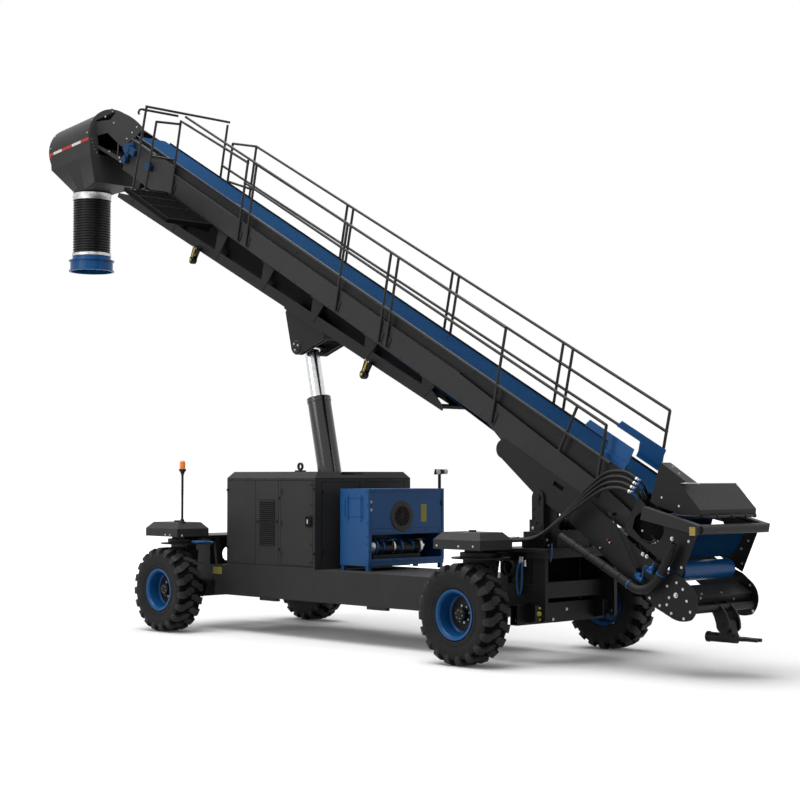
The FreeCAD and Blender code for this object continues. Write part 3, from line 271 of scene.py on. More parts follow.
def round_array_tree(name):
    """Repeats the piece's own mesh round the Y axis, from a start angle."""
    tree, given = copying_tree(name, ("Count",), ("Start Angle",))
    spots = node(tree, "GeometryNodePoints", {"Count": given["Count"]})
    index = node(tree, "GeometryNodeInputIndex")
    pitch = node(tree, "Math", {0: 2 * pi, 1: given["Count"]}, operation="DIVIDE")
    turn = node(tree, "Math", {0: index[0], 1: pitch[0], 2: given["Start Angle"]}, operation="MULTIPLY_ADD")
    about = node(tree, "CombineXYZ", {"Y": turn[0]})
    return put_copies(tree, given, spots[0], given["Geometry"], about[0])


def with_tree(obj, tree, **values):
    """Adds a node tree to a piece, fills its named inputs, and freezes the result."""
    added = obj.modifiers.new(tree.name, "NODES")
    added.node_group = tree
    for socket in tree.interface.items_tree:
        key = socket.name.replace(" ", "_").lower()
        if socket.in_out == "INPUT" and key in values:
            added[socket.identifier] = values[key]
    return finished(obj)


tyre_rubber = rubber("tyre rubber", (0.0095, 0.0095, 0.01), 0.6, (0.02, 0.0195, 0.019),
    260.0, 0.001, gloss=0.13)
# Lighter rubber for the lugs: worn tread, and painted light on the lug tops.
worn_lit_tread_rubber = rubber("worn and lit tread rubber", (0.012, 0.012, 0.0122), 0.55, (0.026, 0.0255, 0.025),
    260.0, 0.0012, gloss=0.2)
# Darker rubber for the carcass between the lugs: painted shade in the grooves.
groove_shade_rubber = rubber("painted groove shade rubber", (0.0045, 0.0045, 0.0047), 0.8, (0.009, 0.009, 0.009),
    260.0, 0.0012, gloss=0.03)
round_array = round_array_tree("copies round the axle")
# half of the carcass from the bead to the middle of the tread, mirrored for the other half
carcass_half = [(bead_radius + 0.004, 0.17), (bead_radius + 0.012, 0.196), (0.372, 0.206), (0.392, 0.205),
    (0.396, 0.212), (0.41, 0.213), (0.416, 0.208), (0.47, 0.219), (0.53, 0.221), (0.566, 0.217),
    (0.59, 0.207), (0.612, 0.192), (0.628, 0.165), (0.636, 0.1)]
carcass = [(r, -y) for r, y in carcass_half] + [(0.639, 0.0)] + carcass_half[::-1]
carcass += [(bead_radius + 0.03, 0.15), (bead_radius + 0.03, -0.15)]
# stations of one lug: radius and y of its foot, outward tilt, height, swing round the axle, half length
lug_stations = [(0.636, -0.018, 0.0, 0.037, 0.024, 0.06), (0.636, 0.04, 0.0, 0.037, 0.018, 0.088),
    (0.636, 0.052, 0.0, 0.038, -0.004, 0.096), (0.635, 0.1, 0.03, 0.038, -0.024, 0.09),
    (0.633, 0.116, 0.06, 0.038, -0.068, 0.092), (0.628, 0.16, 0.18, 0.04, -0.092, 0.094),
    (0.616, 0.192, 0.6, 0.034, -0.098, 0.094), (0.596, 0.206, 1.05, 0.024, -0.1, 0.088),
    (0.566, 0.214, 1.3, 0.012, -0.102, 0.072), (0.54, 0.217, 1.45, 0.003, -0.103, 0.06)]


def outward(obj):
    """Turns a piece's faces to look outward."""
    shape = bmesh.new()
    shape.from_mesh(obj.data)
    bmesh.ops.recalc_face_normals(shape, faces=shape.faces)
    shape.to_mesh(obj.data)
    shape.free()
    return obj


def tube_faces(rings, sides):
    """Faces of a closed tube through rings of points, with both ends capped."""
    faces = []
    for i in range(rings - 1):
        for k in range(sides):
            a, b = i * sides + k, i * sides + (k + 1) % sides
            faces.append((a, b, b + sides, a + sides))
    return faces + [tuple(reversed(range(sides))), tuple(range((rings - 1) * sides, rings * sides))]


def lugs(name, side, start):
    """One side's lugs, from a start angle, each swept through its stations."""
    verts = []
    for r, y, tilt, height, swing, half in lug_stations:
        out_by, along_by = cos(tilt) * height, sin(tilt) * height
        for share, rise in ((-1.0, -0.25), (-0.88, 1.0), (0.88, 1.0), (1.0, -0.25)):
            angle, top = swing + share * half, r + out_by * rise
            verts.append((top * cos(angle), side * (y + along_by * rise), top * sin(angle)))
    faces = tube_faces(len(lug_stations), 4)
    if side < 0:
        faces = [tuple(reversed(f)) for f in faces]
    return with_tree(outward(mesh_object(name, verts, faces)), round_array, count=lugs_per_side,
        start_angle=start, material=worn_lit_tread_rubber)


def joined(name, pieces):
    """One object from several, each already in place."""
    shape = bmesh.new()
    materials = []
    for one in pieces:
        start = len(materials)
        materials += [m for m in one.data.materials] or [None]
        before = len(shape.faces)
        shape.from_mesh(one.data)
        shape.faces.ensure_lookup_table()
        for face in shape.faces[before:]:
            face.material_index += start
    mesh = bpy.data.meshes.new(name)
    shape.to_mesh(mesh)
    shape.free()
    for material in materials:
        mesh.materials.append(material)
    for one in pieces:
        bpy.data.objects.remove(one)
    return placed(name, mesh)


lugs_out = lugs("lugs outer", -1, 0.0)
lugs_in = lugs("lugs inner", 1, pi / lugs_per_side)
tyre_body = outward(mesh_object("carcass", *lathe(carcass, 96), smooth=40))
tyre_body.data.materials.append(tyre_rubber)
tyre_body.data.materials.append(groove_shade_rubber)
# Carcass faces out on the tread band take the darker rubber, as painted shade between the lugs.
for face in tyre_body.data.polygons:
    face.material_index = int(hypot(face.center.x, face.center.z) > groove_shade_from)
tyre_pattern = joined("tyre pattern", [tyre_body, lugs_out, lugs_in])
for end, side, x, y, sy in wheels:
    tyre = placed(f"tyre_with_lugs_{end}_{side}", tyre_pattern.data.copy())
    turn = Matrix.Identity(4) if side == "near" else Matrix.Rotation(pi, 4, "Z")
    tyre.data.transform(Matrix.Translation((x, y, tyre_radius)) @ turn)
    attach(tyre, f"wheel_{end}_{side}")
    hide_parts(f"tyre_{end}_{side}")
bpy.data.objects.remove(tyre_pattern)

# ------------------------------------------------------------
# Rims
# Pressed steel rims in blue enamel. Deep inside each sits a black planetary hub,
# held by a ring of wheel nuts, with a smaller ring of cover screws.
# The dust colour, also used for the painted light on top faces.
dust_and_top_light_colour = (0.1, 0.098, 0.094, 1.0)
near_way, intake_way, up_way = (0, -1, 0), (1, 0, 0), (0, 0, 1)


def paint(name, colour, rough, mottle=0.25, gloss=0.45, peel=0.0006, dusting=0.1, edge=0.004, on_top=0.0):
    """Sprayed metal: slight tone changes, dust in specks, top faces lighter with dust and with painted
    light from above, orange peel, soft edges.
    """
    made, tree, place = new_material(name)
    broad = noise(tree, place, 1.7, 6.0, 0.6)
    tinted = node(tree, "VectorMath", {0: colour, "Scale": spread(tree, broad, 1.0 - mottle, 1.0 + mottle,
        0.3, 0.7)}, operation="SCALE")
    specks = noise(tree, place, 26.0, 9.0, 0.75)
    facing = node(tree, "NewGeometry")
    upward = node(tree, "SeparateXYZ", {"Vector": facing["Normal"]})
    # Top faces are mixed towards the dust colour: settled dust and painted light from above.
    dust_and_top_light = node(tree, "Math", {0: spread(tree, specks, 0.0, dusting, 0.5, 0.78),
        1: spread(tree, upward["Z"], 0.0, on_top, 0.35)}, operation="ADD")
    dusty = node(tree, "Mix", {"A": tinted["Vector"], "B": dust_and_top_light_colour,
        "Factor": dust_and_top_light["Value"]}, data_type="RGBA")
    rounded = node(tree, "Bevel", {"Radius": edge}, samples=4)
    bump = node(tree, "Bump", {"Strength": 0.16, "Distance": peel, "Normal": rounded["Normal"],
        "Height": noise(tree, place, 190.0, 2.0)})
    shade(tree, {"Base Color": dusty["Result"], "Normal": bump["Normal"], "Specular IOR Level": gloss,
        "Roughness": spread(tree, specks, rough - 0.06, rough + 0.12, 0.35, 0.7)})
    return made


def bare_metal(name, colour, rough, streak=(40.0, 40.0, 40.0)):
    """Plated or ground steel: tone and roughness broken up along the grain."""
    made, tree, place = new_material(name)
    stretched = node(tree, "Mapping", {"Scale": streak, "Vector": place})
    grain = noise(tree, stretched["Vector"], 1.0, 6.0)
    shade(tree, {"Metallic": 1.0, "Roughness": spread(tree, grain, rough - 0.08, rough + 0.15),
        "Base Color": ramp(tree, grain, (0.3, [0.62 * c for c in colour]), (0.7, colour))})
    return made


def finish_nodes(material, *names):
    """Gives CAD nodes their finish."""
    for name in names:
        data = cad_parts[name]
        if not data.material_slots:
            data.data.materials.append(material)
        for held in data.material_slots:
            held.material = material


blue_enamel = paint("blue enamel", (0.006, 0.078, 0.24), 0.32, mottle=0.1, gloss=0.22, dusting=0.03)
# The black paint is lightened on top faces: dust and painted light from above.
black_paint = paint("black machine paint", (0.0075, 0.0075, 0.008), 0.44, gloss=0.16,
    dusting=0.04, on_top=0.2)
zinc = bare_metal("zinc plate", (0.55, 0.56, 0.58), 0.36)


def fastener_tree():
    """Hex heads on washers, one at each point, standing along the point's facing."""
    tree, given = copying_tree("bolt heads", (), ("Head Radius", "Head Height",
        "Washer Radius", "Washer Height"))
    head = node(tree, "GeometryNodeMeshCylinder", {"Vertices": 6, "Radius": given["Head Radius"],
        "Depth": given["Head Height"]})
    washer = node(tree, "GeometryNodeMeshCylinder", {"Vertices": 12, "Radius": given["Washer Radius"],
        "Depth": given["Washer Height"]})
    half = node(tree, "Math", {0: given["Head Height"], 1: 0.5}, operation="MULTIPLY")
    up = node(tree, "CombineXYZ", {"Z": half[0]})
    lift = node(tree, "GeometryNodeTransform", {"Geometry": head["Mesh"], "Translation": up[0]})
    both_parts = node(tree, "GeometryNodeJoinGeometry", {0: lift[0]})
    tree.links.new(washer["Mesh"], both_parts[0].node.inputs[0])
    facing = node(tree, "GeometryNodeInputNamedAttribute", {"Name": "facing"}, data_type="FLOAT_VECTOR")
    aim = node(tree, "FunctionNodeAlignRotationToVector", {"Vector": facing["Attribute"]}, axis="Z")
    return put_copies(tree, given, given["Geometry"], both_parts[0], aim[0])


bolt_heads = fastener_tree()


def fasteners(name, spots, body, size, material=zinc):
    """Bolt heads of one size, at (place, facing) spots on one body."""
    mesh = bpy.data.meshes.new(name)
    mesh.from_pydata([tuple(p) for p, facing in spots], [], [])
    facings = mesh.attributes.new("facing", "FLOAT_VECTOR", "POINT")
    for i, (p, facing) in enumerate(spots):
        facings.data[i].vector = facing
    heads = placed(name, mesh)
    with_tree(heads, bolt_heads, head_radius=size, head_height=size * 1.1, washer_radius=size * 1.55,
        washer_height=size * 0.5, material=material)
    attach(heads, body)


def facing_near(y, *places):
    """Fastener spots at (x, z) places on a face that looks to the near side."""
    return [((x, y, z), near_way) for x, z in places]


def facing_intake(x, *places):
    """Fastener spots at (y, z) places on a face that looks to the intake end."""
    return [((x, y, z), intake_way) for y, z in places]


def ring(centre, axis, radius, count, start=0.0):
    """Spots on a circle round an axis, all facing along it."""
    axis = Vector(axis).normalized()
    across = axis.orthogonal().normalized()
    up = axis.cross(across)
    angles = [start + 2 * pi * k / count for k in range(count)]
    return [(Vector(centre) + radius * (cos(a) * across + sin(a) * up), axis) for a in angles]


def fitted(made, material, body):
    """Gives a piece its material, the body it moves with and its colour slot."""
    made.data.materials.append(material)
    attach(made, body)
    return made


def turned(name, profile, centre, axis, steps, material, body, smooth=35):
    """A (radius, height) outline turned round an axis that starts at a centre."""
    axis = Vector(axis).normalized()
    closed = profile[0] == profile[-1]
    verts, faces = lathe(profile[:-1] if closed else profile, steps, closed=closed)
    made = outward(mesh_object(name, verts, faces, smooth=smooth))
    turn = Vector((0, 1, 0)).rotation_difference(axis).to_matrix().to_4x4()
    made.data.transform(Matrix.Translation(Vector(centre)) @ turn)
    return fitted(made, material, body)


hub_profile = [(0.0, 0.098), (0.04, 0.098), (0.044, 0.0965), (0.076, 0.0965), (0.092, 0.082),
    (0.0935, 0.04), (0.0935, 0.032), (0.094, -0.01), (0.128, -0.014), (0.134, -0.022),
    (0.134, -0.05), (0.0, -0.05)]
for end, side, x, y, sy in wheels:
    finish_nodes(blue_enamel, f"rim_{end}_{side}")
    wheel, out = f"wheel_{end}_{side}", (0, sy, 0)
    turned(f"hub_{end}_{side}", hub_profile, (x, y, tyre_radius), out, 40, black_paint, wheel)
    fasteners(f"wheel_nuts_{end}_{side}", ring((x, y - sy * 0.013, tyre_radius), out, 0.182, 12),
        wheel, 0.013, black_paint)
    fasteners(f"hub_screws_{end}_{side}", ring((x, y + sy * 0.09, tyre_radius), out,
        0.058, 6), wheel, 0.006)

# ------------------------------------------------------------
# Black steelwork
# Welded plate and section. The bridges, legs, tower, cheeks, skirts and lower frame are sprayed black; on
# the tail cheeks, hopper sides and tail cover the darker black also stands in as painted shade under the
# boom. The chassis, enclosure, covers, side plates, head and bumper have a greyer powder coat, and the
# guards and cases are blue enamel.
# The grey coat is lightened on top faces: dust and painted light from above.
grey_coat = paint("charcoal powder coat", (0.027, 0.027, 0.028), 0.52, mottle=0.12, gloss=0.16, peel=0.0008,
    dusting=0.04, on_top=0.2)
rail_coat = paint("rail paint", (0.012, 0.012, 0.013), 0.4, mottle=0.2, gloss=0.22,
    edge=0.001, dusting=0.05)
# The darker black on the tail cheeks, hopper sides and tail cover is partly painted shade under the boom.
finish_nodes(black_paint, "cylinder_anchor", "bridge_front", "bridge_rear", "pivot_tower", "lifting_eye",
    "boom_crossmembers", "lower_frame", "lift_bracket", "hitch_clevis", "coupler_block", "engine_block",
    "motor_pump_set", "frame_castors", "service_pipes", "tail_cheek_near", "tail_cheek_far", "hopper_sides",
    "tail_cover", "belt_skirts", "work_lamp_post", "beacon_mast", *[f"steering_leg_{e}_{s}"
    for e in ("front", "rear") for s in ("near", "far")])
finish_nodes(grey_coat, "steer_covers", "enclosure_shell", "enclosure_door", "enclosure_louvre",
    "boom_side_plate_near", "boom_side_plate_far", "head_hood", "head_throat",
    "tail_bumper", "chassis_frame")
finish_nodes(rail_coat, "handrail_near", "handrail_far", "landing_rail")
finish_nodes(blue_enamel, "power_unit_case", "power_unit_hatch", "chute_ring",
    "hopper_guards", "tail_drums")
# A darker blue for the head drive: painted shade on the drive behind the black head plates.
finish_nodes(paint("shade-darkened blue gearbox paint", (0.003, 0.032, 0.095), 0.4, mottle=0.3,
    gloss=0.15), "head_drive")

# ------------------------------------------------------------
# Belt
# A blue rubber belt and intake apron, dusty in patches, their blue darkened as painted shade from the
# skirts over the belt. The bellows and the hoses are plain black rubber.
# Belt blue darkened as painted shade from the skirts.
shade_darkened_belt_rubber = rubber("shade-darkened blue belt rubber", (0.0035, 0.03, 0.088), 0.75, (0.006, 0.038, 0.1),
    500.0, 0.0006, gloss=0.02)
hose_rubber = rubber("hose rubber", (0.007, 0.007, 0.0075), 0.42, (0.014, 0.014, 0.014), 300.0, 0.0005)
finish_nodes(shade_darkened_belt_rubber, "belt", "intake_apron")
finish_nodes(hose_rubber, "chute_bellows", "hydraulic_hoses")

# ------------------------------------------------------------
# Lift rods
# Ground and chromed steel rod, and the plated drum at the head of the boom.
chrome = bare_metal("rod chrome", (0.8, 0.81, 0.83), 0.17, (8.0, 8.0, 160.0))
finish_nodes(chrome, "lift_rod")
finish_nodes(zinc, "head_drum")

# ------------------------------------------------------------
# Discharge hood
# Rolled sheet with a black rubber seal round its inner edge and a rolled bead at
# its outer end. Zinc bolts hold the end plates, a red and white tape runs along
# the side, and galvanised bands clamp the bellows to the outlet and the ring.
hood_tilt = radians(-5.5)
hood_face = Vector((-7.2, 0.0, 8.77))
hood_radius = 0.56


def on_hood(along, y, z):
    """A point of the hood's own frame; along is below zero from the face to the outer end."""
    turned_x = along * cos(hood_tilt) + z * sin(hood_tilt)
    turned_z = -along * sin(hood_tilt) + z * cos(hood_tilt)
    return hood_face + Vector((turned_x, y, turned_z))


def on_shell(along, radius, angle):
    """A point round the hood's axis; the angle starts at the near side and turns upward."""
    return on_hood(along, -radius * cos(angle), radius * sin(angle))


def sweep(name, points, radius, material, body, sides=12, smooth=True):
    """A round tube along a smooth line through the points, or a straight-edged one."""
    points = [Vector(p) for p in points]
    line = []
    if smooth and len(points) > 2:
        padded = [2 * points[0] - points[1], *points, 2 * points[-1] - points[-2]]
        for i in range(1, len(padded) - 2):
            a, b, c, d = padded[i - 1:i + 3]
            steps = max(3, int((c - b).length / 0.05))
            for k in range(steps):
                t = k / steps
                line.append(0.5 * ((2 * b) + (c - a) * t + (2 * a - 5 * b + 4 * c - d) * t * t
                    + (3 * b - 3 * c + d - a) * t ** 3))
        line.append(points[-1])
    else:
        line = points
    verts = []
    across = (line[1] - line[0]).orthogonal().normalized()
    for i, p in enumerate(line):
        ahead = (line[min(i + 1, len(line) - 1)] - line[max(i - 1, 0)]).normalized()
        across = (across - ahead * across.dot(ahead)).normalized()
        other = ahead.cross(across)
        for k in range(sides):
            a = 2 * pi * k / sides
            verts.append(p + radius * (cos(a) * across + sin(a) * other))
    made = outward(mesh_object(name, verts, tube_faces(len(line), sides), smooth=60))
    if body:
        return fitted(made, material, body)
    made.data.materials.append(material)
    return made


def plate(name, outline, thick, material, body, bevel=0.0015):
    """A flat plate from its outline (3-D points in one plane), grown along the outline's own normal."""
    points = [Vector(p) for p in outline]
    normal = Vector((0, 0, 0))
    for i, p in enumerate(points):
        q = points[(i + 1) % len(points)]
        normal += (p - points[0]).cross(q - points[0])
    normal.normalize()
    n = len(points)
    verts = points + [p + normal * thick for p in points]
    faces = [tuple(reversed(range(n))), tuple(range(n, 2 * n))]
    faces += [(i, (i + 1) % n, (i + 1) % n + n, i + n) for i in range(n)]
    made = mesh_object(name, verts, faces)
    if bevel:
        soft = made.modifiers.new("bevel", "BEVEL")
        soft.width = bevel
        soft.segments = 1
        finished(made)
    return fitted(outward(made), material, body)


def near_plate(name, x0, x1, y, z0, z1, thick, material, body, bevel=0.0):
    """An upright plate that looks to the near side."""
    return plate(name, [(x0, y, z0), (x1, y, z0), (x1, y, z1), (x0, y, z1)], thick, material, body, bevel)


def colour_only(name, colour, rough, gloss=0.3):
    """Tape, film or moulded plastic in one hue, with faint scuffs."""
    made, tree, place = new_material(name)
    scuffs = noise(tree, place, 34.0, 6.0)
    shade(tree, {"Base Color": ramp(tree, scuffs, (0.32, [0.72 * c for c in colour]), (0.62, colour)),
        "Roughness": spread(tree, scuffs, rough - 0.05, rough + 0.15), "Specular IOR Level": gloss})
    return made


def hood_strip(name, start, stop, low, high, material, steps=6):
    """A thin strip on the hood's near side, from start to stop along it and between two angles."""
    verts = [on_shell(at, hood_radius + lift, low + (high - low) * k / steps) for at in (start, stop)
        for k in range(steps + 1) for lift in (0.0004, 0.0028)]
    n = 2 * (steps + 1)
    faces = [(0, 1, n + 1, n), (n - 2, 2 * n - 2, 2 * n - 1, n - 1)]
    for a in range(0, 2 * steps, 2):
        faces += [(a + 1, a + 3, n + a + 3, n + a + 1), (a, n + a, n + a + 2, a + 2),
            (a, a + 2, a + 3, a + 1), (n + a, n + a + 1, n + a + 3, n + a + 2)]
    return fitted(outward(mesh_object(name, verts, faces)), material, "boom")


def hood_hoop(name, along, radius, thick, low, high, material):
    """A round bead bent over the hood between two angles, seen from its near side."""
    route = [on_shell(along, radius, radians(low + (high - low) * k / 40)) for k in range(41)]
    return sweep(name, route, thick, material, "boom", sides=8, smooth=False)


tape_red = colour_only("red tape", (0.56, 0.028, 0.016), 0.35)
tape_white = colour_only("white tape", (0.8, 0.8, 0.78), 0.35)
tape_edges = (-1.4, -1.263, -0.98, -0.623, -0.326, -0.045)
for k in range(5):
    tape = tape_white if k % 2 else tape_red
    hood_strip(f"hood_tape_{k + 1}", tape_edges[k], tape_edges[k + 1], -0.158, -0.01, tape)
seal_rubber = rubber("edge seal rubber", (0.004, 0.004, 0.0042), 0.5, (0.009, 0.009, 0.009), 300.0, 0.0004)
hood_hoop("hood_edge_seal", -0.024, 0.567, 0.018, -38, 200, seal_rubber)
hood_hoop("hood_outer_bead", -1.412, 0.5545, 0.005, -60, 205, black_paint)
fasteners("hood_flange_bolts", [(on_shell(0.0005, 0.545, radians(d)), on_hood(1, 0, 0) - hood_face)
    for d in (-42, -34, -27, -20, -13, -6, 84, 96, 128, 150, 172)], "boom", 0.0125)
fasteners("hood_shell_bolts", [(on_shell(x, 0.5605, radians(d)), on_shell(0, 1, radians(d)) - hood_face)
    for x in (-1.36, -0.105) for d in (-26, 9, 38, 70, 110)], "boom", 0.0105)
fasteners("head_guard_bolts", facing_near(-0.4302, (-5.89, 8.746), (-6.035, 8.673), (-6.433, 8.275),
    (-6.404, 8.197), (-6.763, 8.433), (-6.2, 8.585), (-6.62, 8.94), (-6.9, 9.1),
    (-6.3, 8.42)), "boom", 0.0115)
turned("hood_lifting_eye", [(0.02, -0.007), (0.034, -0.007), (0.034, 0.007), (0.02, 0.007), (0.02, -0.007)],
    on_hood(-0.075, 0, 0.592), intake_way, 24, black_paint, "boom")
galvanised = bare_metal("galvanised steel", (0.62, 0.63, 0.64), 0.42, (22.0, 22.0, 22.0))
chute_x = -7.98
clamp_profile = [(0.354, 7.722), (0.3605, 7.716), (0.3605, 7.728), (0.358, 7.734), (0.358, 7.822),
    (0.3605, 7.828), (0.3605, 7.84), (0.354, 7.836), (0.354, 7.722)]
ring_profile = [(0.36, 6.65), (0.366, 6.652), (0.366, 6.7), (0.363, 6.704), (0.354, 6.704),
    (0.354, 6.65), (0.36, 6.65)]
collar_profile = [(0.3525, 7.94), (0.356, 7.942), (0.356, 7.975), (0.3525, 7.978), (0.3525, 7.94)]
for name, profile, made in (("bellows_clamp", clamp_profile, galvanised),
        ("ring_clamp", ring_profile, galvanised), ("outlet_collar_band", collar_profile, grey_coat)):
    turned(name, profile, (chute_x, 0, 0), up_way, 72, made, "boom")
fasteners("bellows_clamp_screws", [((chute_x + 0.36 * cos(a), 0.36 * sin(a), 7.78), (cos(a), sin(a), 0))
    for a in (radians(d) for d in range(-160, 200, 40))], "boom", 0.009)

# ------------------------------------------------------------
# Chute bellows
# A black rubber sleeve with fine square folds, moulded in one length. The top
# fold has a second, rounder skin behind the clamp.
bellows_top, bellows_foot, folds = 7.838, 6.6475, 24
fold = (bellows_top - bellows_foot) / folds
bellows_black = rubber("bellows rubber", (0.0035, 0.0035, 0.0038), 0.38, (0.006, 0.006, 0.006),
    60.0, 0.0002, gloss=0.2)
square_fold = ((0.324, 0.0), (0.324, 0.2), (0.35, 0.36), (0.3525, 0.44), (0.3525, 0.68),
    (0.35, 0.76), (0.324, 0.92))
round_fold = ((0.33, 0.0), (0.3325, 0.16), (0.3505, 0.3), (0.3525, 0.42), (0.3525, 0.62),
    (0.3505, 0.74), (0.3325, 0.88))
bellows_profile = []
for k in range(folds):
    bellows_profile += [(r, bellows_foot + k * fold + share * fold) for r, share in square_fold]
bellows_profile += [(r, bellows_foot + (folds - 1) * fold + share * fold) for r, share in round_fold]
bellows_profile += [(0.324, bellows_top), (0.318, bellows_top),
    (0.318, bellows_foot), (0.324, bellows_foot)]
bellows = turned("folded_bellows", bellows_profile, (chute_x, 0, 0), up_way, 72,
    bellows_black, "boom", smooth=30)
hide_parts("chute_bellows")

# ------------------------------------------------------------
# Tail fixings and reflectors
# Zinc bolts through the painted tail cheeks, the intake cover and the nose box.
# An amber film reflector is stuck to the end of the near bumper arm.
cheek_face, hopper_face = -0.6522, -0.6502
fasteners("tail_near_bolts", facing_near(cheek_face, (5.967, 1.13), (6.11, 1.178), (6.203, 1.099),
    (5.995, 0.988), (6.26, 0.959), (5.959, 0.899), (5.851, 0.883), (6.026, 0.797), (6.312, 0.829),
    (6.214, 0.742), (5.694, 0.969), (5.983, 1.292)), "boom", 0.0115)
fasteners("tail_roller_bolt", facing_near(cheek_face, (6.099, 1.022)), "boom", 0.022)
fasteners("tail_far_bolts", facing_near(0.6395, (6.297, 1.097), (6.343, 0.772), (6.28, 1.663),
    (6.175, 1.56), (6.181, 1.37)), "boom", 0.0115)
fasteners("hopper_bolts", facing_near(hopper_face, (6.184, 1.368), (6.295, 1.691)), "boom", 0.0115)
fasteners("cover_bolts", [((5.934, -0.482, 2.604), (0.53, 0, 0.85)),
    ((6.063, -0.524, 2.523), (0.53, 0, 0.85)), ((6.135, -0.226, 2.394), (0.73, 0, 0.68)),
    ((6.158, 0.582, 2.369), (0.73, 0, 0.68)),
    *facing_near(-0.6, (6.116, 2.12), (5.854, 2.224))], "boom", 0.009)
fasteners("nose_bolts", [((6.281, -0.378, 1.037), (0.48, 0, 0.88)),
    ((6.286, 0.026, 1.034), (0.48, 0, 0.88)), ((6.322, -0.456, 0.988), (0.88, 0, -0.48)),
    ((6.296, 0.282, 0.941), (0.88, 0, -0.48))], "boom", 0.011)
amber_film = colour_only("amber reflector", (0.42, 0.3, 0.045), 0.3, gloss=0.5)
near_plate("reflector_films", 6.392, 6.478, -0.7658, 1.768, 1.872, 0.0014, amber_film, "boom")

# ------------------------------------------------------------
# Boom hoses
# Four black rubber pressure hoses hang in a loose arc from the chassis up to the boom's foot, with zinc
# ferrules and blue nuts.
ferrule = ((0.0005, -0.04), (0.0248, -0.04), (0.0248, -0.016), (0.0205, -0.01),
    (0.0205, 0.012), (0.0005, 0.012))
hose_nut = ((0.0005, 0.0125), (0.027, 0.0125), (0.027, 0.048), (0.0005, 0.048))
for k in range(4):
    drop, y = 0.072 * k, -0.552 - 0.05 * k
    arc = [(3.29, y, 1.64 - 0.008 * k), (3.58, y, 1.652 - 0.008 * k), (3.87, y, 1.745 - 0.3 * drop),
        (4.28 + 0.3 * drop, y, 2.05 - 0.45 * drop), (4.66 + 0.4 * drop, y, 2.365 - 0.8 * drop),
        (4.93 + 0.3 * drop, y, 2.53 - drop), (5.23, y, 2.545 - 0.95 * drop), (5.45, y, 2.44 - 0.7 * drop)]
    hose = sweep(f"boom_hose_{k + 1}", arc, 0.0222, hose_rubber, None, sides=14)
    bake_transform(hose)
    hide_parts("hydraulic_hoses")
    foot, head = Vector(arc[0]), Vector(arc[-1])
    for nut, body, sign, at, along in (("foot", "chassis", -1, foot, intake_way), ("head", "boom", 1, head,
            (head - Vector(arc[-2])).normalized())):
        turned(f"hose_{k + 1}_{nut}_ferrule", [(r, h * sign) for r, h in ferrule],
            at, along, 16, zinc, body)
        turned(f"hose_{k + 1}_{nut}_nut", [(r, h * sign) for r, h in hose_nut], at,
            along, 6, blue_enamel, body)

# ------------------------------------------------------------
# Boom underside
# A folded steel trough between the lower trusses catches spillage under the
# return belt. Black paint, held by screws along its upper edges. The castors on
# the near truss have pins and springs of yellow passivated steel.
boom_foot = Vector((3.95, 0.0, 2.05))
boom_slope = radians(28.8)
truss_face = -0.4305
trough_steps, trough_sides, trough_half = 12, 10, 0.337


def on_boom(along, y, up):
    """A point of the boom's own frame: along its length, across it and square to it."""
    c, s = cos(boom_slope), sin(boom_slope)
    return boom_foot + Vector((along * c + up * s, y, -along * s + up * c))


def chord_height(along):
    """Height of the lower truss rail at a place along the boom."""
    return 0.15 + (along + 2.6) * (0.38 / 9.3)


trough_black = rubber("unlit black paint", (0.007, 0.007, 0.0075), 0.8, (0.01, 0.01, 0.01),
    30.0, 0.0004, gloss=0.03)
verts, faces = [], []
for layer in (0.0, 0.004):
    for i in range(trough_steps + 1):
        x = -11.6 + i * (8.85 / trough_steps)
        bottom = 0.012 + chord_height(x)
        for k in range(trough_sides + 1):
            y = -trough_half + 2 * trough_half * k / trough_sides
            verts.append(on_boom(x, y, bottom + (0.436 - bottom) * (abs(y) / trough_half) ** 1.6 + layer))
row = trough_sides + 1
sheet = (trough_steps + 1) * row
for i in range(trough_steps):
    for a in range(i * row, i * row + trough_sides):
        faces += [(a, a + 1, a + row + 1, a + row), (sheet + a, sheet + a + row,
            sheet + a + row + 1, sheet + a + 1)]
for i in range(trough_steps):
    for a in (i * row, i * row + trough_sides):
        faces.append((a, a + row, sheet + a + row, sheet + a))
for k in range(trough_sides):
    for a in (k, trough_steps * row + k):
        faces.append((a, a + 1, sheet + a + 1, sheet + a))
finish_nodes(trough_black, "landing_floor")
fitted(outward(mesh_object("spillage_trough", verts, faces, smooth=40)), trough_black, "boom")
fasteners("side_plate_screws", [(on_boom(-11.5 + i * 0.46, truss_face, 0.475), near_way)
    for i in range(22)], "boom", 0.0085, grey_coat)
fasteners("skirt_screws", [(on_boom(-11.6 + i * 0.62, truss_face, 0.905), near_way) for i in range(20)],
    "boom", 0.0085, black_paint)
castor_yellow = colour_only("yellow passivated steel", (0.62, 0.47, 0.06), 0.35, gloss=0.5)
for n, x in enumerate((-9.15, -4.3)):
    z = chord_height(x)
    for place, y in (("inner", -0.362), ("outer", -0.452)):
        turned(f"castor_{n + 1}_pin_{place}", [(0.0, 0.012), (0.02, 0.012), (0.024, 0.008), (0.024, 0.0),
            (0.0, 0.0)], on_boom(x, y - 0.0085, z - 0.185), near_way, 16, castor_yellow, "boom")
    sweep(f"castor_{n + 1}_spring", [on_boom(x + 0.03, -0.47, z + 0.045),
        on_boom(x + 0.028, -0.47, z - 0.12)], 0.016, castor_yellow, "boom", sides=10, smooth=False)
    fasteners(f"castor_{n + 1}_bolts", [(on_boom(x + dx, -0.4505, z + 0.04), near_way)
        for dx in (-0.04, 0.04)], "boom", 0.01)

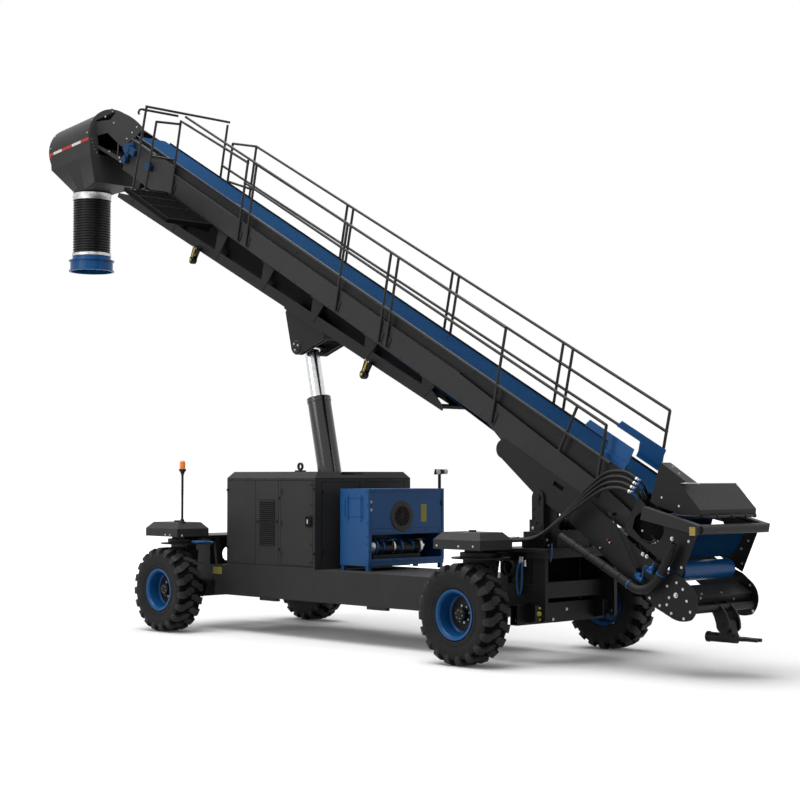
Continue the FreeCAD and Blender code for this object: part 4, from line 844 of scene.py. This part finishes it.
# ------------------------------------------------------------
# Wheel centres
# Each dished centre sits on a black planetary hub flange, turned from steel and
# held by a ring of eight zinc bolts.
flange_profile = [(0.0, 0.03), (0.128, 0.03), (0.134, 0.024), (0.134, 0.022), (0.152, 0.02), (0.222, 0.018),
    (0.226, 0.01), (0.0, -0.001)]
for end, side, x, y, sy in wheels:
    turned(f"hub_flange_{end}_{side}", flange_profile, (x, y - sy * 0.013, tyre_radius), (0, sy, 0), 40,
        black_paint, f"wheel_{end}_{side}")
    fasteners(f"hub_flange_bolts_{end}_{side}", ring((x, y + sy * 0.0175, tyre_radius), (0, sy, 0), 0.112,
        8, 0.2), f"wheel_{end}_{side}", 0.0095)

# ------------------------------------------------------------
# Blue power unit
# Sheet-steel case in blue enamel: folded frame lips, a latched service panel, a
# grey-brown fan guard, a plain sticker, and a plated motor cap with blue clamps.
unit_x, unit_y0, unit_y1 = 0.3303, -0.5, 1.1
hatch_face = -0.5175
motor_x, motor_z = 0.18, 1.42


def unit_strip(name, x, y0, y1, z0, z1, deep, material=blue_enamel):
    """A folded strip of sheet on the unit's intake face."""
    return plate(name, [(x, y0, z0), (x, y1, z0), (x, y1, z1), (x, y0, z1)], deep,
        material, "chassis", bevel=0.002)


for name, y0, y1, z0, z1 in (("top", unit_y0, unit_y1, 2.262, 2.299), ("near", unit_y0, unit_y0 + 0.045,
        1.2, 2.26), ("far", unit_y1 - 0.045, unit_y1, 1.2, 2.26), ("middle", unit_y0 + 0.05, unit_y1 - 0.05,
        1.64, 1.69), ("foot", unit_y0 + 0.05, unit_y1 - 0.05, 1.202, 1.245)):
    unit_strip(f"unit_lip_{name}", unit_x, y0, y1, z0, z1, 0.01)
unit_strip("unit_service_panel", unit_x, -0.445, 1.045, 1.7, 2.15, 0.004)
seam_black = colour_only("panel gap", (0.004, 0.004, 0.004), 0.6, gloss=0.1)
guard_centre = (unit_x + 0.004, 0.19, 1.88)
fan_grey = colour_only("fan guard plastic", (0.03, 0.026, 0.022), 0.5, gloss=0.25)
turned("fan_shroud", [(0.0, 0.0042), (0.149, 0.0042), (0.149, 0.001), (0.0, 0.001)], guard_centre,
    intake_way, 36, seam_black, "chassis")
turned("fan_guard_rim", [(0.15, 0.0005), (0.232, 0.0005), (0.234, 0.006), (0.226, 0.014), (0.16, 0.016),
    (0.15, 0.006), (0.15, 0.0005)], guard_centre, intake_way, 48, fan_grey, "chassis")
for k, r in enumerate((0.04, 0.075, 0.11, 0.142)):
    turned(f"fan_guard_wire_{k + 1}", [(r, 0.006), (r + 0.006, 0.006), (r + 0.006, 0.012), (r, 0.012),
        (r, 0.006)], guard_centre, intake_way, 36, fan_grey, "chassis")
guard_mid = Vector(guard_centre) + Vector((0.0115, 0, 0))
for k in range(6):
    a = pi * k / 6
    reach = Vector((0, cos(a), sin(a))) * 0.158
    sweep(f"fan_guard_spoke_{k + 1}", [guard_mid - reach, guard_mid + reach], 0.0035, fan_grey,
        "chassis", sides=6, smooth=False)
sticker_yellow = colour_only("faded yellow sticker", (0.36, 0.33, 0.045), 0.45)
unit_strip("unit_plain_sticker", unit_x + 0.0042, 0.6, 0.72, 1.79, 2.06, 0.0008, sticker_yellow)
cap_white = colour_only("white cap", (0.72, 0.7, 0.62), 0.35)
fasteners("unit_white_caps", facing_intake(0.3345, (-0.452, 2.103), (-0.452, 1.984)),
    "chassis", 0.016, cap_white)
fasteners("unit_screws", facing_intake(unit_x + 0.0105, *[(y, z) for z in (2.281, 1.665, 1.223)
    for y in (-0.35, 0.0, 0.35, 0.7, 1.0)]), "chassis", 0.008, blue_enamel)
fasteners("unit_side_screws", facing_near(-0.5005, *[(x, z) for x in (-0.276, 0.306)
    for z in (1.469, 1.583, 1.8, 2.05, 2.25)]), "chassis", 0.009, blue_enamel)
for name, x in (("latch_side", -0.13), ("hinge_side", 0.165)):
    near_plate(f"hatch_bar_{name}", x, x + 0.016, hatch_face, 1.8, 2.2, 0.006,
        blue_enamel, "unit_hatch", 0.0015)
unit_strip("unit_latch_far", unit_x + 0.0105, 1.03, 1.065, 2.03, 2.11, 0.012, black_paint)
turned("motor_chrome_cap", [(0.0, 0.06), (0.06, 0.056), (0.096, 0.04), (0.108, 0.012), (0.108, -0.03),
    (0.0, -0.03)], (motor_x, -0.335, motor_z), near_way, 32, zinc, "chassis")
for k, (y, r, wide, made) in enumerate(((-0.285, 0.122, 0.04, blue_enamel),
        (-0.15, 0.118, 0.03, blue_enamel), (0.08, 0.112, 0.03, zinc), (0.23, 0.118, 0.04, blue_enamel),
        (0.47, 0.112, 0.03, blue_enamel), (0.64, 0.112, 0.05, zinc))):
    turned(f"motor_clamp_{k + 1}", [(0.06, 0.0), (r, 0.0), (r + 0.006, 0.006), (r + 0.006, wide - 0.006),
        (r, wide), (0.06, wide), (0.06, 0.0)], (motor_x, y, motor_z), (0, 1, 0), 32, made, "chassis")
for k, (y, z, made) in enumerate(((-0.22, 1.518, hose_rubber), (-0.02, 1.522, blue_enamel),
        (0.55, 1.52, hose_rubber))):
    sweep(f"motor_pipe_{k + 1}", [(0.2, y, 1.49), (0.25, y + 0.03, z), (0.22, y + 0.16, z + 0.006),
        (0.18, y + 0.3, 1.505)], 0.014, made, "chassis", sides=10)

# ------------------------------------------------------------
# Machinery enclosure
# Pressed panels in satin dark grey: shadow gaps between panels, lock buttons, a
# black latch plate with a plated lever, and a folded roof edge with screws.
shell_y, shell_end = -0.8005, -0.5445


def seam(name, p, q, wide, facing):
    """A narrow dark joint line lying on a panel, from p to q."""
    p, q, facing = Vector(p), Vector(q), Vector(facing)
    side = (q - p).cross(facing).normalized() * wide / 2
    return plate(name, [p - side, p + side, q + side, q - side], 0.0008, seam_black, "chassis", bevel=0)


for k, (x0, z0, x1, z1) in enumerate(((-1.99, 1.085, -1.99, 2.425), (-1.42, 1.085, -1.42, 2.425),
        (-2.7, 2.425, -0.56, 2.425), (-2.7, 1.1, -0.56, 1.1))):
    seam(f"panel_gap_near_{k + 1}", (x0, shell_y, z0), (x1, shell_y, z1), 0.007, near_way)
for k, (y0, z0, y1, z1) in enumerate(((-0.665, 1.2, -0.665, 2.4), (-0.665, 2.4, 0.12, 2.4),
        (0.12, 2.4, 0.12, 1.2), (0.24, 2.4, 1.09, 2.4), (1.09, 2.4, 1.09, 1.2),
        (-0.79, 2.455, 1.21, 2.455))):
    seam(f"panel_gap_end_{k + 1}", (shell_end, y0, z0), (shell_end, y1, z1), 0.009, intake_way)
fasteners("enclosure_locks", facing_near(shell_y, (-1.941, 1.774), (-1.445, 1.784), (-1.4, 2.15),
    (-1.4, 1.35), (-2.7, 2.267), (-2.7, 1.35), (-0.571, 2.3), (-0.571, 1.307))
    + facing_intake(shell_end, (-0.64, 2.25), (-0.64, 1.35)), "chassis", 0.017, black_paint)
fasteners("enclosure_roof_screws", facing_near(shell_y, *[(x, 2.444)
    for x in (-2.6, -2.2, -1.75, -1.3, -0.85)]) + facing_intake(shell_end, *[(y, 2.436)
    for y in (-0.6, -0.2, 0.25, 0.7, 1.1)]), "chassis", 0.008, grey_coat)
near_plate("door_latch_plate", -0.735, -0.61, -0.8235, 1.715, 1.88, 0.01, seam_black, "cabinet_door", 0.003)
near_plate("door_latch_lever", -0.69, -0.668, -0.8345, 1.765, 1.83, 0.006,
    galvanised, "cabinet_door", 0.002)
fasteners("door_screws", facing_near(-0.8225, *[(-0.615, z) for z in (2.36, 2.05, 1.45, 1.17)]),
    "cabinet_door", 0.009, black_paint)

# ------------------------------------------------------------
# Louvre
# A black pressed insert of fine blades, set in the enclosure's near side.
verts, faces = [], []
blades, blade_foot, blade_pitch = 22, 1.402, 0.715 / 22
for k in range(blades):
    z = blade_foot + k * blade_pitch
    n = len(verts)
    for x in (-1.888, -1.502):
        verts += [(x, -0.7965, z + 0.002), (x, -0.811, z + 0.005), (x, -0.811, z + 0.009),
            (x, -0.7965, z + blade_pitch - 0.006)]
    faces += [(n, n + 1, n + 2, n + 3), (n + 7, n + 6, n + 5, n + 4)]
    faces += [(n + i, n + 4 + i, n + 4 + (i + 1) % 4, n + (i + 1) % 4) for i in range(4)]
louvre = fitted(outward(mesh_object("louvre_blades", verts, faces)), black_paint, "chassis")
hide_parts("enclosure_louvre")
near_plate("louvre_backing", -1.889, -1.501, -0.7955, 1.401, 2.119, 0.001, seam_black, "chassis")

# ------------------------------------------------------------
# Beacon
# Amber moulded lens on a black cup and tube mast, with a flanged foot.
mast_foot = (-3.01, -1.48, 1.751)
tube_profile = [(0.0, 0.0), (0.06, 0.0), (0.06, 0.009), (0.04, 0.014), (0.03, 0.045), (0.0185, 0.06),
    (0.0185, 0.745), (0.03, 0.79), (0.058, 0.834), (0.058, 0.852), (0.046, 0.856), (0.0, 0.856)]
beacon_tube = turned("beacon_tube", tube_profile, mast_foot, up_way, 32, black_paint, "chassis")
amber, tree, place = new_material("amber lens")
lens_ribs = node(tree, "TexWave", {"Scale": 60.0, "Vector": place}, bands_direction="Z")
lens_tint = ramp(tree, lens_ribs["Fac"], (0.0, (0.85, 0.16, 0.005)), (1.0, (1.0, 0.27, 0.012)))
shade(tree, {"Base Color": lens_tint, "Emission Color": lens_tint, "Emission Strength": 0.12,
    "Roughness": 0.22, "Subsurface Weight": 0.3, "Subsurface Scale": 0.02})
lens_profile = [(0.0, 0.857), (0.045, 0.857)]
for k in range(9):
    lens_profile += [(0.045, 0.862 + 0.0115 * k), (0.0428, 0.8675 + 0.0115 * k)]
lens_profile += [(0.04, 0.974), (0.029, 0.986), (0.0, 0.988)]
lens = turned("beacon_lens", lens_profile, mast_foot, up_way, 40, amber, "chassis", smooth=40)
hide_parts("beacon_mast")
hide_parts("beacon_mast")

# ------------------------------------------------------------
# Lift cylinder
# Gloss black barrel with a turned gland held by zinc screws. Black caps cover
# the ends of the rod's pin.
gloss_black = paint("gloss black paint", (0.006, 0.006, 0.0065), 0.16, mottle=0.1, gloss=0.6,
    peel=0.0003, dusting=0.02)
finish_nodes(gloss_black, "lift_barrel")
lift_base, lift_eye = Vector((-0.72, 0.0, 0.82)), Vector((-1.575, 0.0, 4.56))
lift_way = (lift_eye - lift_base).normalized()
turned("lift_gland", [(0.1185, 3.002), (0.176, 3.002), (0.182, 2.996), (0.1925, 2.994), (0.1925, 2.95),
    (0.1955, 2.946), (0.1955, 2.93), (0.1925, 2.926), (0.1185, 2.926), (0.1185, 3.002)], lift_base,
    lift_way, 56, gloss_black, "lift_barrel")
fasteners("lift_gland_screws", [(p + lift_way * 3.0022, d)
    for p, d in ring(lift_base, lift_way, 0.152, 12)], "lift_barrel", 0.011)
for k, sy in enumerate((-1, 1)):
    out, y = (0, sy, 0), sy * 0.3225
    turned(f"lift_pin_cap_{k + 1}", [(0.0, 0.006), (0.07, 0.006), (0.09, 0.002), (0.0925, -0.004),
        (0.0, -0.004)], lift_eye + Vector((0, y, 0)), out, 32, black_paint, "lift_rod")
    fasteners(f"lift_pin_bolts_{k + 1}", ring(lift_eye + Vector((0, y + sy * 0.0045, 0)), out, 0.058, 3,
        0.5), "lift_rod", 0.011)

# ------------------------------------------------------------
# Front portal fittings
# Hydraulic hoses and fittings beside the near column, zinc bolts, a greased pin
# and white ties round the hose bundle. Hoses are rubber or blue thermoplastic.
tower_face, pin_face, steer_face = -0.4725, -0.7505, -1.6702
fasteners("portal_bolts", facing_intake(3.5725, (-0.798, 0.556))
    + facing_intake(3.6905, (-0.182, 0.547), (0.098, 0.672)) + facing_near(tower_face, (3.592, 1.789))
    + facing_intake(3.8405, (-0.47, 1.634), (-0.44, 1.56)), "chassis", 0.014)
turned("portal_pin", [(0.0, 0.03), (0.026, 0.03), (0.03, 0.024), (0.03, 0.0), (0.0, 0.0)],
    (3.957, pin_face, 0.67), near_way, 20, castor_yellow, "chassis")
fasteners("portal_pin_screws", facing_near(pin_face, (3.957, 0.745), (3.957, 0.595)),
    "chassis", 0.012, castor_yellow)
fasteners("tower_bolts", facing_near(tower_face, (3.7, 2.12), (3.6, 2.05), (3.6, 1.93), (3.74, 1.8),
    (3.65, 1.86)), "chassis", 0.013, black_paint)
fasteners("steer_cover_bolts", facing_near(steer_face, (3.35, 1.569), (3.6145, 1.575), (2.95, 1.57),
    (2.7, 1.57), (-3.076, 1.55), (-3.2, 1.55), (-2.75, 1.55)), "chassis", 0.01)
blue_hose = rubber("blue thermoplastic hose", (0.006, 0.075, 0.2), 0.4, (0.012, 0.095, 0.24),
    220.0, 0.0004, gloss=0.3)
sweep("portal_blue_hose", [(3.6, -0.745, 1.36), (3.565, -0.765, 1.22), (3.565, -0.77, 1.06),
    (3.59, -0.775, 0.93), (3.635, -0.775, 0.93), (3.655, -0.77, 1.08), (3.655, -0.765, 1.26),
    (3.64, -0.745, 1.36)], 0.015, blue_hose, "chassis")
for k, (x, z) in enumerate(((3.6, 1.372), (3.64, 1.372), (3.69, 1.33))):
    turned(f"portal_fitting_{k + 1}", [(0.0, -0.045), (0.02, -0.045), (0.022, -0.01), (0.016, 0.0),
        (0.016, 0.04), (0.0, 0.04)], (x, -0.745, z), up_way, 6, zinc, "chassis")
sweep("tower_blue_hose", [(4.092, -0.66, 1.6), (4.11, -0.68, 1.46), (4.1, -0.7, 1.36)],
    0.008, blue_hose, "chassis")
coil = [Vector((3.42 + 0.11 * cos(pi * k / 8), -0.762 - 0.0011 * k,
    1.26 + 0.11 * sin(pi * k / 8))) for k in range(49)]
sweep("portal_hose_coil", coil, 0.013, hose_rubber, "chassis", sides=8, smooth=False)
near_plate("chassis_blank_sticker", -3.09, -2.85, -0.8006, 0.905, 1.017, 0.0006, sticker_yellow, "chassis")
tie_white = colour_only("white cable tie", (0.7, 0.7, 0.7), 0.35)
tie_near, tie_far = -0.702 - 0.03, -0.552 + 0.03
for k, x in enumerate((3.3, 3.375)):
    route = [(x, tie_far, 1.64), (x, tie_far, 1.668), (x, tie_near, 1.645), (x, tie_near, 1.588),
        (x, tie_far, 1.612), (x, tie_far, 1.64)]
    sweep(f"hose_tie_{k + 1}", route, 0.0045, tie_white, "chassis", sides=6, smooth=False)
sweep("rear_blue_hose", [(-2.96, -1.3, 1.455), (-2.88, -1.36, 1.44), (-2.8, -1.3, 1.44),
    (-2.76, -1.15, 1.43), (-2.82, -1.02, 1.42)], 0.022, blue_hose, "chassis")

# ------------------------------------------------------------
# Tail fittings
# Thin black bands and blue clamps hold the intake duct. Blue anodised valves sit
# at the stay's foot and capped unions at the cheek, and hose ends turn inward.
duct = [Vector((x, -0.755, z)) for x, z in ((4.33, 1.705), (4.815, 1.462), (5.3, 1.215), (5.6, 1.05),
    (5.83, 1.12), (5.99, 1.35), (6.112, 1.59))]
for k, (i, share, made) in enumerate(((0, 0.5, black_paint), (0, 0.98, black_paint), (1, 0.5, black_paint),
        (1, 1.0, black_paint), (2, 0.5, blue_enamel), (4, 0.7, blue_enamel), (5, 0.5, black_paint))):
    turned(f"duct_band_{k + 1}", [(0.0555, -0.011), (0.061, -0.009), (0.061, 0.009), (0.0555, 0.011),
        (0.0555, -0.011)], duct[i].lerp(duct[i + 1], share), duct[i + 1] - duct[i], 28, made, "boom")
for k, (x, y, z, r, tall) in enumerate(((5.55, -0.68, 1.24, 0.04, 0.09), (5.585, -0.705, 1.2, 0.03, 0.12),
        (5.52, -0.7, 1.26, 0.022, 0.11), (5.76, -0.69, 1.335, 0.034, 0.09),
        (5.735, -0.705, 1.3, 0.026, 0.13), (5.79, -0.7, 1.36, 0.02, 0.11))):
    way = ((0, -1, 0.2), (1, -0.2, -0.3), (0.3, -0.2, 1))[k % 3]
    turned(f"stay_valve_{k + 1}", [(0.0, -tall / 2), (0.7 * r, -tall / 2), (r, -tall / 3), (r, -0.006),
        (0.8 * r, 0.0), (r, 0.006), (r, tall / 3), (0.6 * r, tall / 2.2), (0.0, tall / 2)], (x, y, z), way,
        14, blue_enamel, "boom")
sweep("stay_valve_loop", [(5.735, -0.7, 1.33), (5.7, -0.73, 1.37), (5.66, -0.73, 1.33), (5.64, -0.72, 1.24),
    (5.59, -0.7, 1.2)], 0.009, blue_hose, "boom")
fasteners("duct_unions", facing_near(cheek_face, (6.045, 1.716), (5.592, 1.512),
    (5.653, 1.485)), "boom", 0.017)
for k, (x, y, z, made) in enumerate(((4.849, -0.572, 1.567, zinc), (4.978, -0.583, 1.672, tape_red),
        (5.027, -0.593, 1.641, zinc))):
    turned(f"cheek_union_{k + 1}", [(0.0, 0.024), (0.01, 0.024), (0.013, 0.018), (0.013, 0.0), (0.0, 0.0)],
        (x, y, z), near_way, 12, made, "boom")
for k in range(4):
    end = Vector((5.45, -0.552 - 0.05 * k, 2.44 - 0.7 * (0.072 * k)))
    turns = ((0.01, 0, -0.006), (0.055, 0.02, -0.045), (0.06, 0.08, -0.12), (0.02, 0.16, -0.18))
    made = blue_hose if k % 2 else hose_rubber
    sweep(f"hose_end_loop_{k + 1}", [end + Vector(t) for t in turns], 0.016, made, "boom", sides=10)

# ------------------------------------------------------------
# Backing panels of painted shade
# Plain matt black panels fill the tail's slot and side window and the gap between the front portal's
# columns: painted shade for the dark insides behind them.
# Matt black sheets as painted shade in the openings.
for name, y, corners, thick in (("cheek_slot_cover", -0.412, ((3.72, 2.24), (4.32, 1.94), (4.46, 2.2),
        (3.88, 2.58)), 0.003), ("hopper_window_guard", -0.56, ((5.16, 1.56), (5.86, 1.22),
        (6.06, 1.78), (5.5, 2.04)), 0.004)):
    plate(name, [(x, y, z) for x, z in corners], thick, trough_black, "boom")
plate("portal_panel", [(3.43, y, z) for y, z in ((-0.69, 0.62), (0.69, 0.62), (0.69, 1.49), (-0.69, 1.49))],
    0.006, trough_black, "chassis")

# ------------------------------------------------------------
# Side window and bumper
# Steel pulleys, rubber lines and zinc screws show through the hopper's side
# window. A rubber breather hose lies along the bumper, held by black clips.
for k, (dx, dz, r, made) in enumerate(((-0.1, 0.02, 0.085, black_paint), (0.09, 0.07, 0.07, zinc),
        (0.1, -0.14, 0.055, black_paint))):
    turned(f"window_pulley_{k + 1}", [(0.0, 0.012), (0.3 * r, 0.014), (0.34 * r, 0.004), (0.82 * r, 0.002),
        (0.86 * r, 0.012), (r, 0.012), (r, -0.012), (0.0, -0.012)], (5.66 + dx, -0.585, 1.56 + dz),
        near_way, 32, made, "boom")
for k, (first, middle, last, radius) in enumerate((((5.55, 1.7), (5.66, 1.66), (5.78, 1.7), 0.01),
        ((5.52, 1.62), (5.6, 1.47), (5.74, 1.42), 0.012), ((5.7, 1.75), (5.82, 1.6), (5.8, 1.44), 0.01))):
    sweep(f"window_line_{k + 1}", [(x, y, z) for (x, z), y in ((first, -0.61), (middle, -0.615),
        (last, -0.61))], radius, hose_rubber, "boom", sides=8)
fasteners("window_screws", facing_near(-0.5645, (5.4, 1.62), (5.52, 1.8), (5.8, 1.66), (5.72, 1.4),
    (5.6, 1.52)), "boom", 0.01)
bumper_hose = [(5.62, -0.66, 2.005), (5.8, -0.635, 2.01), (6.05, -0.625, 2.005), (6.3, -0.62, 1.995),
    (6.44, -0.55, 1.99), (6.47, -0.3, 1.99), (6.47, 0.0, 1.995), (6.47, 0.3, 1.99), (6.44, 0.55, 1.99)]
sweep("bumper_hose", bumper_hose, 0.018, hose_rubber, "boom", sides=10)
for k, p in enumerate(bumper_hose[1:]):
    way = intake_way if k < 2 else (0, 1, 0) if k > 3 else (1, 1, 0)
    turned(f"bumper_hose_clip_{k + 1}", [(0.0185, -0.012), (0.026, -0.01), (0.026, 0.01), (0.0185, 0.012),
        (0.0185, -0.012)], p, way, 14, black_paint, "boom")

# ------------------------------------------------------------
# Work lamps
# Clear lenses, pressed into the two small die-cast lamps on the power unit's
# post.
lens_glass = colour_only("clear lamp lens", (0.75, 0.74, 0.68), 0.12, gloss=0.8)
for k, dy in enumerate((-0.085, 0.085)):
    turned(f"work_lamp_lens_{k + 1}", [(0.0, 0.01), (0.03, 0.008), (0.042, 0.0), (0.042, -0.01),
        (0.0, -0.01)], (0.335, 1.07 + dy, 2.56), intake_way, 24, lens_glass, "chassis")
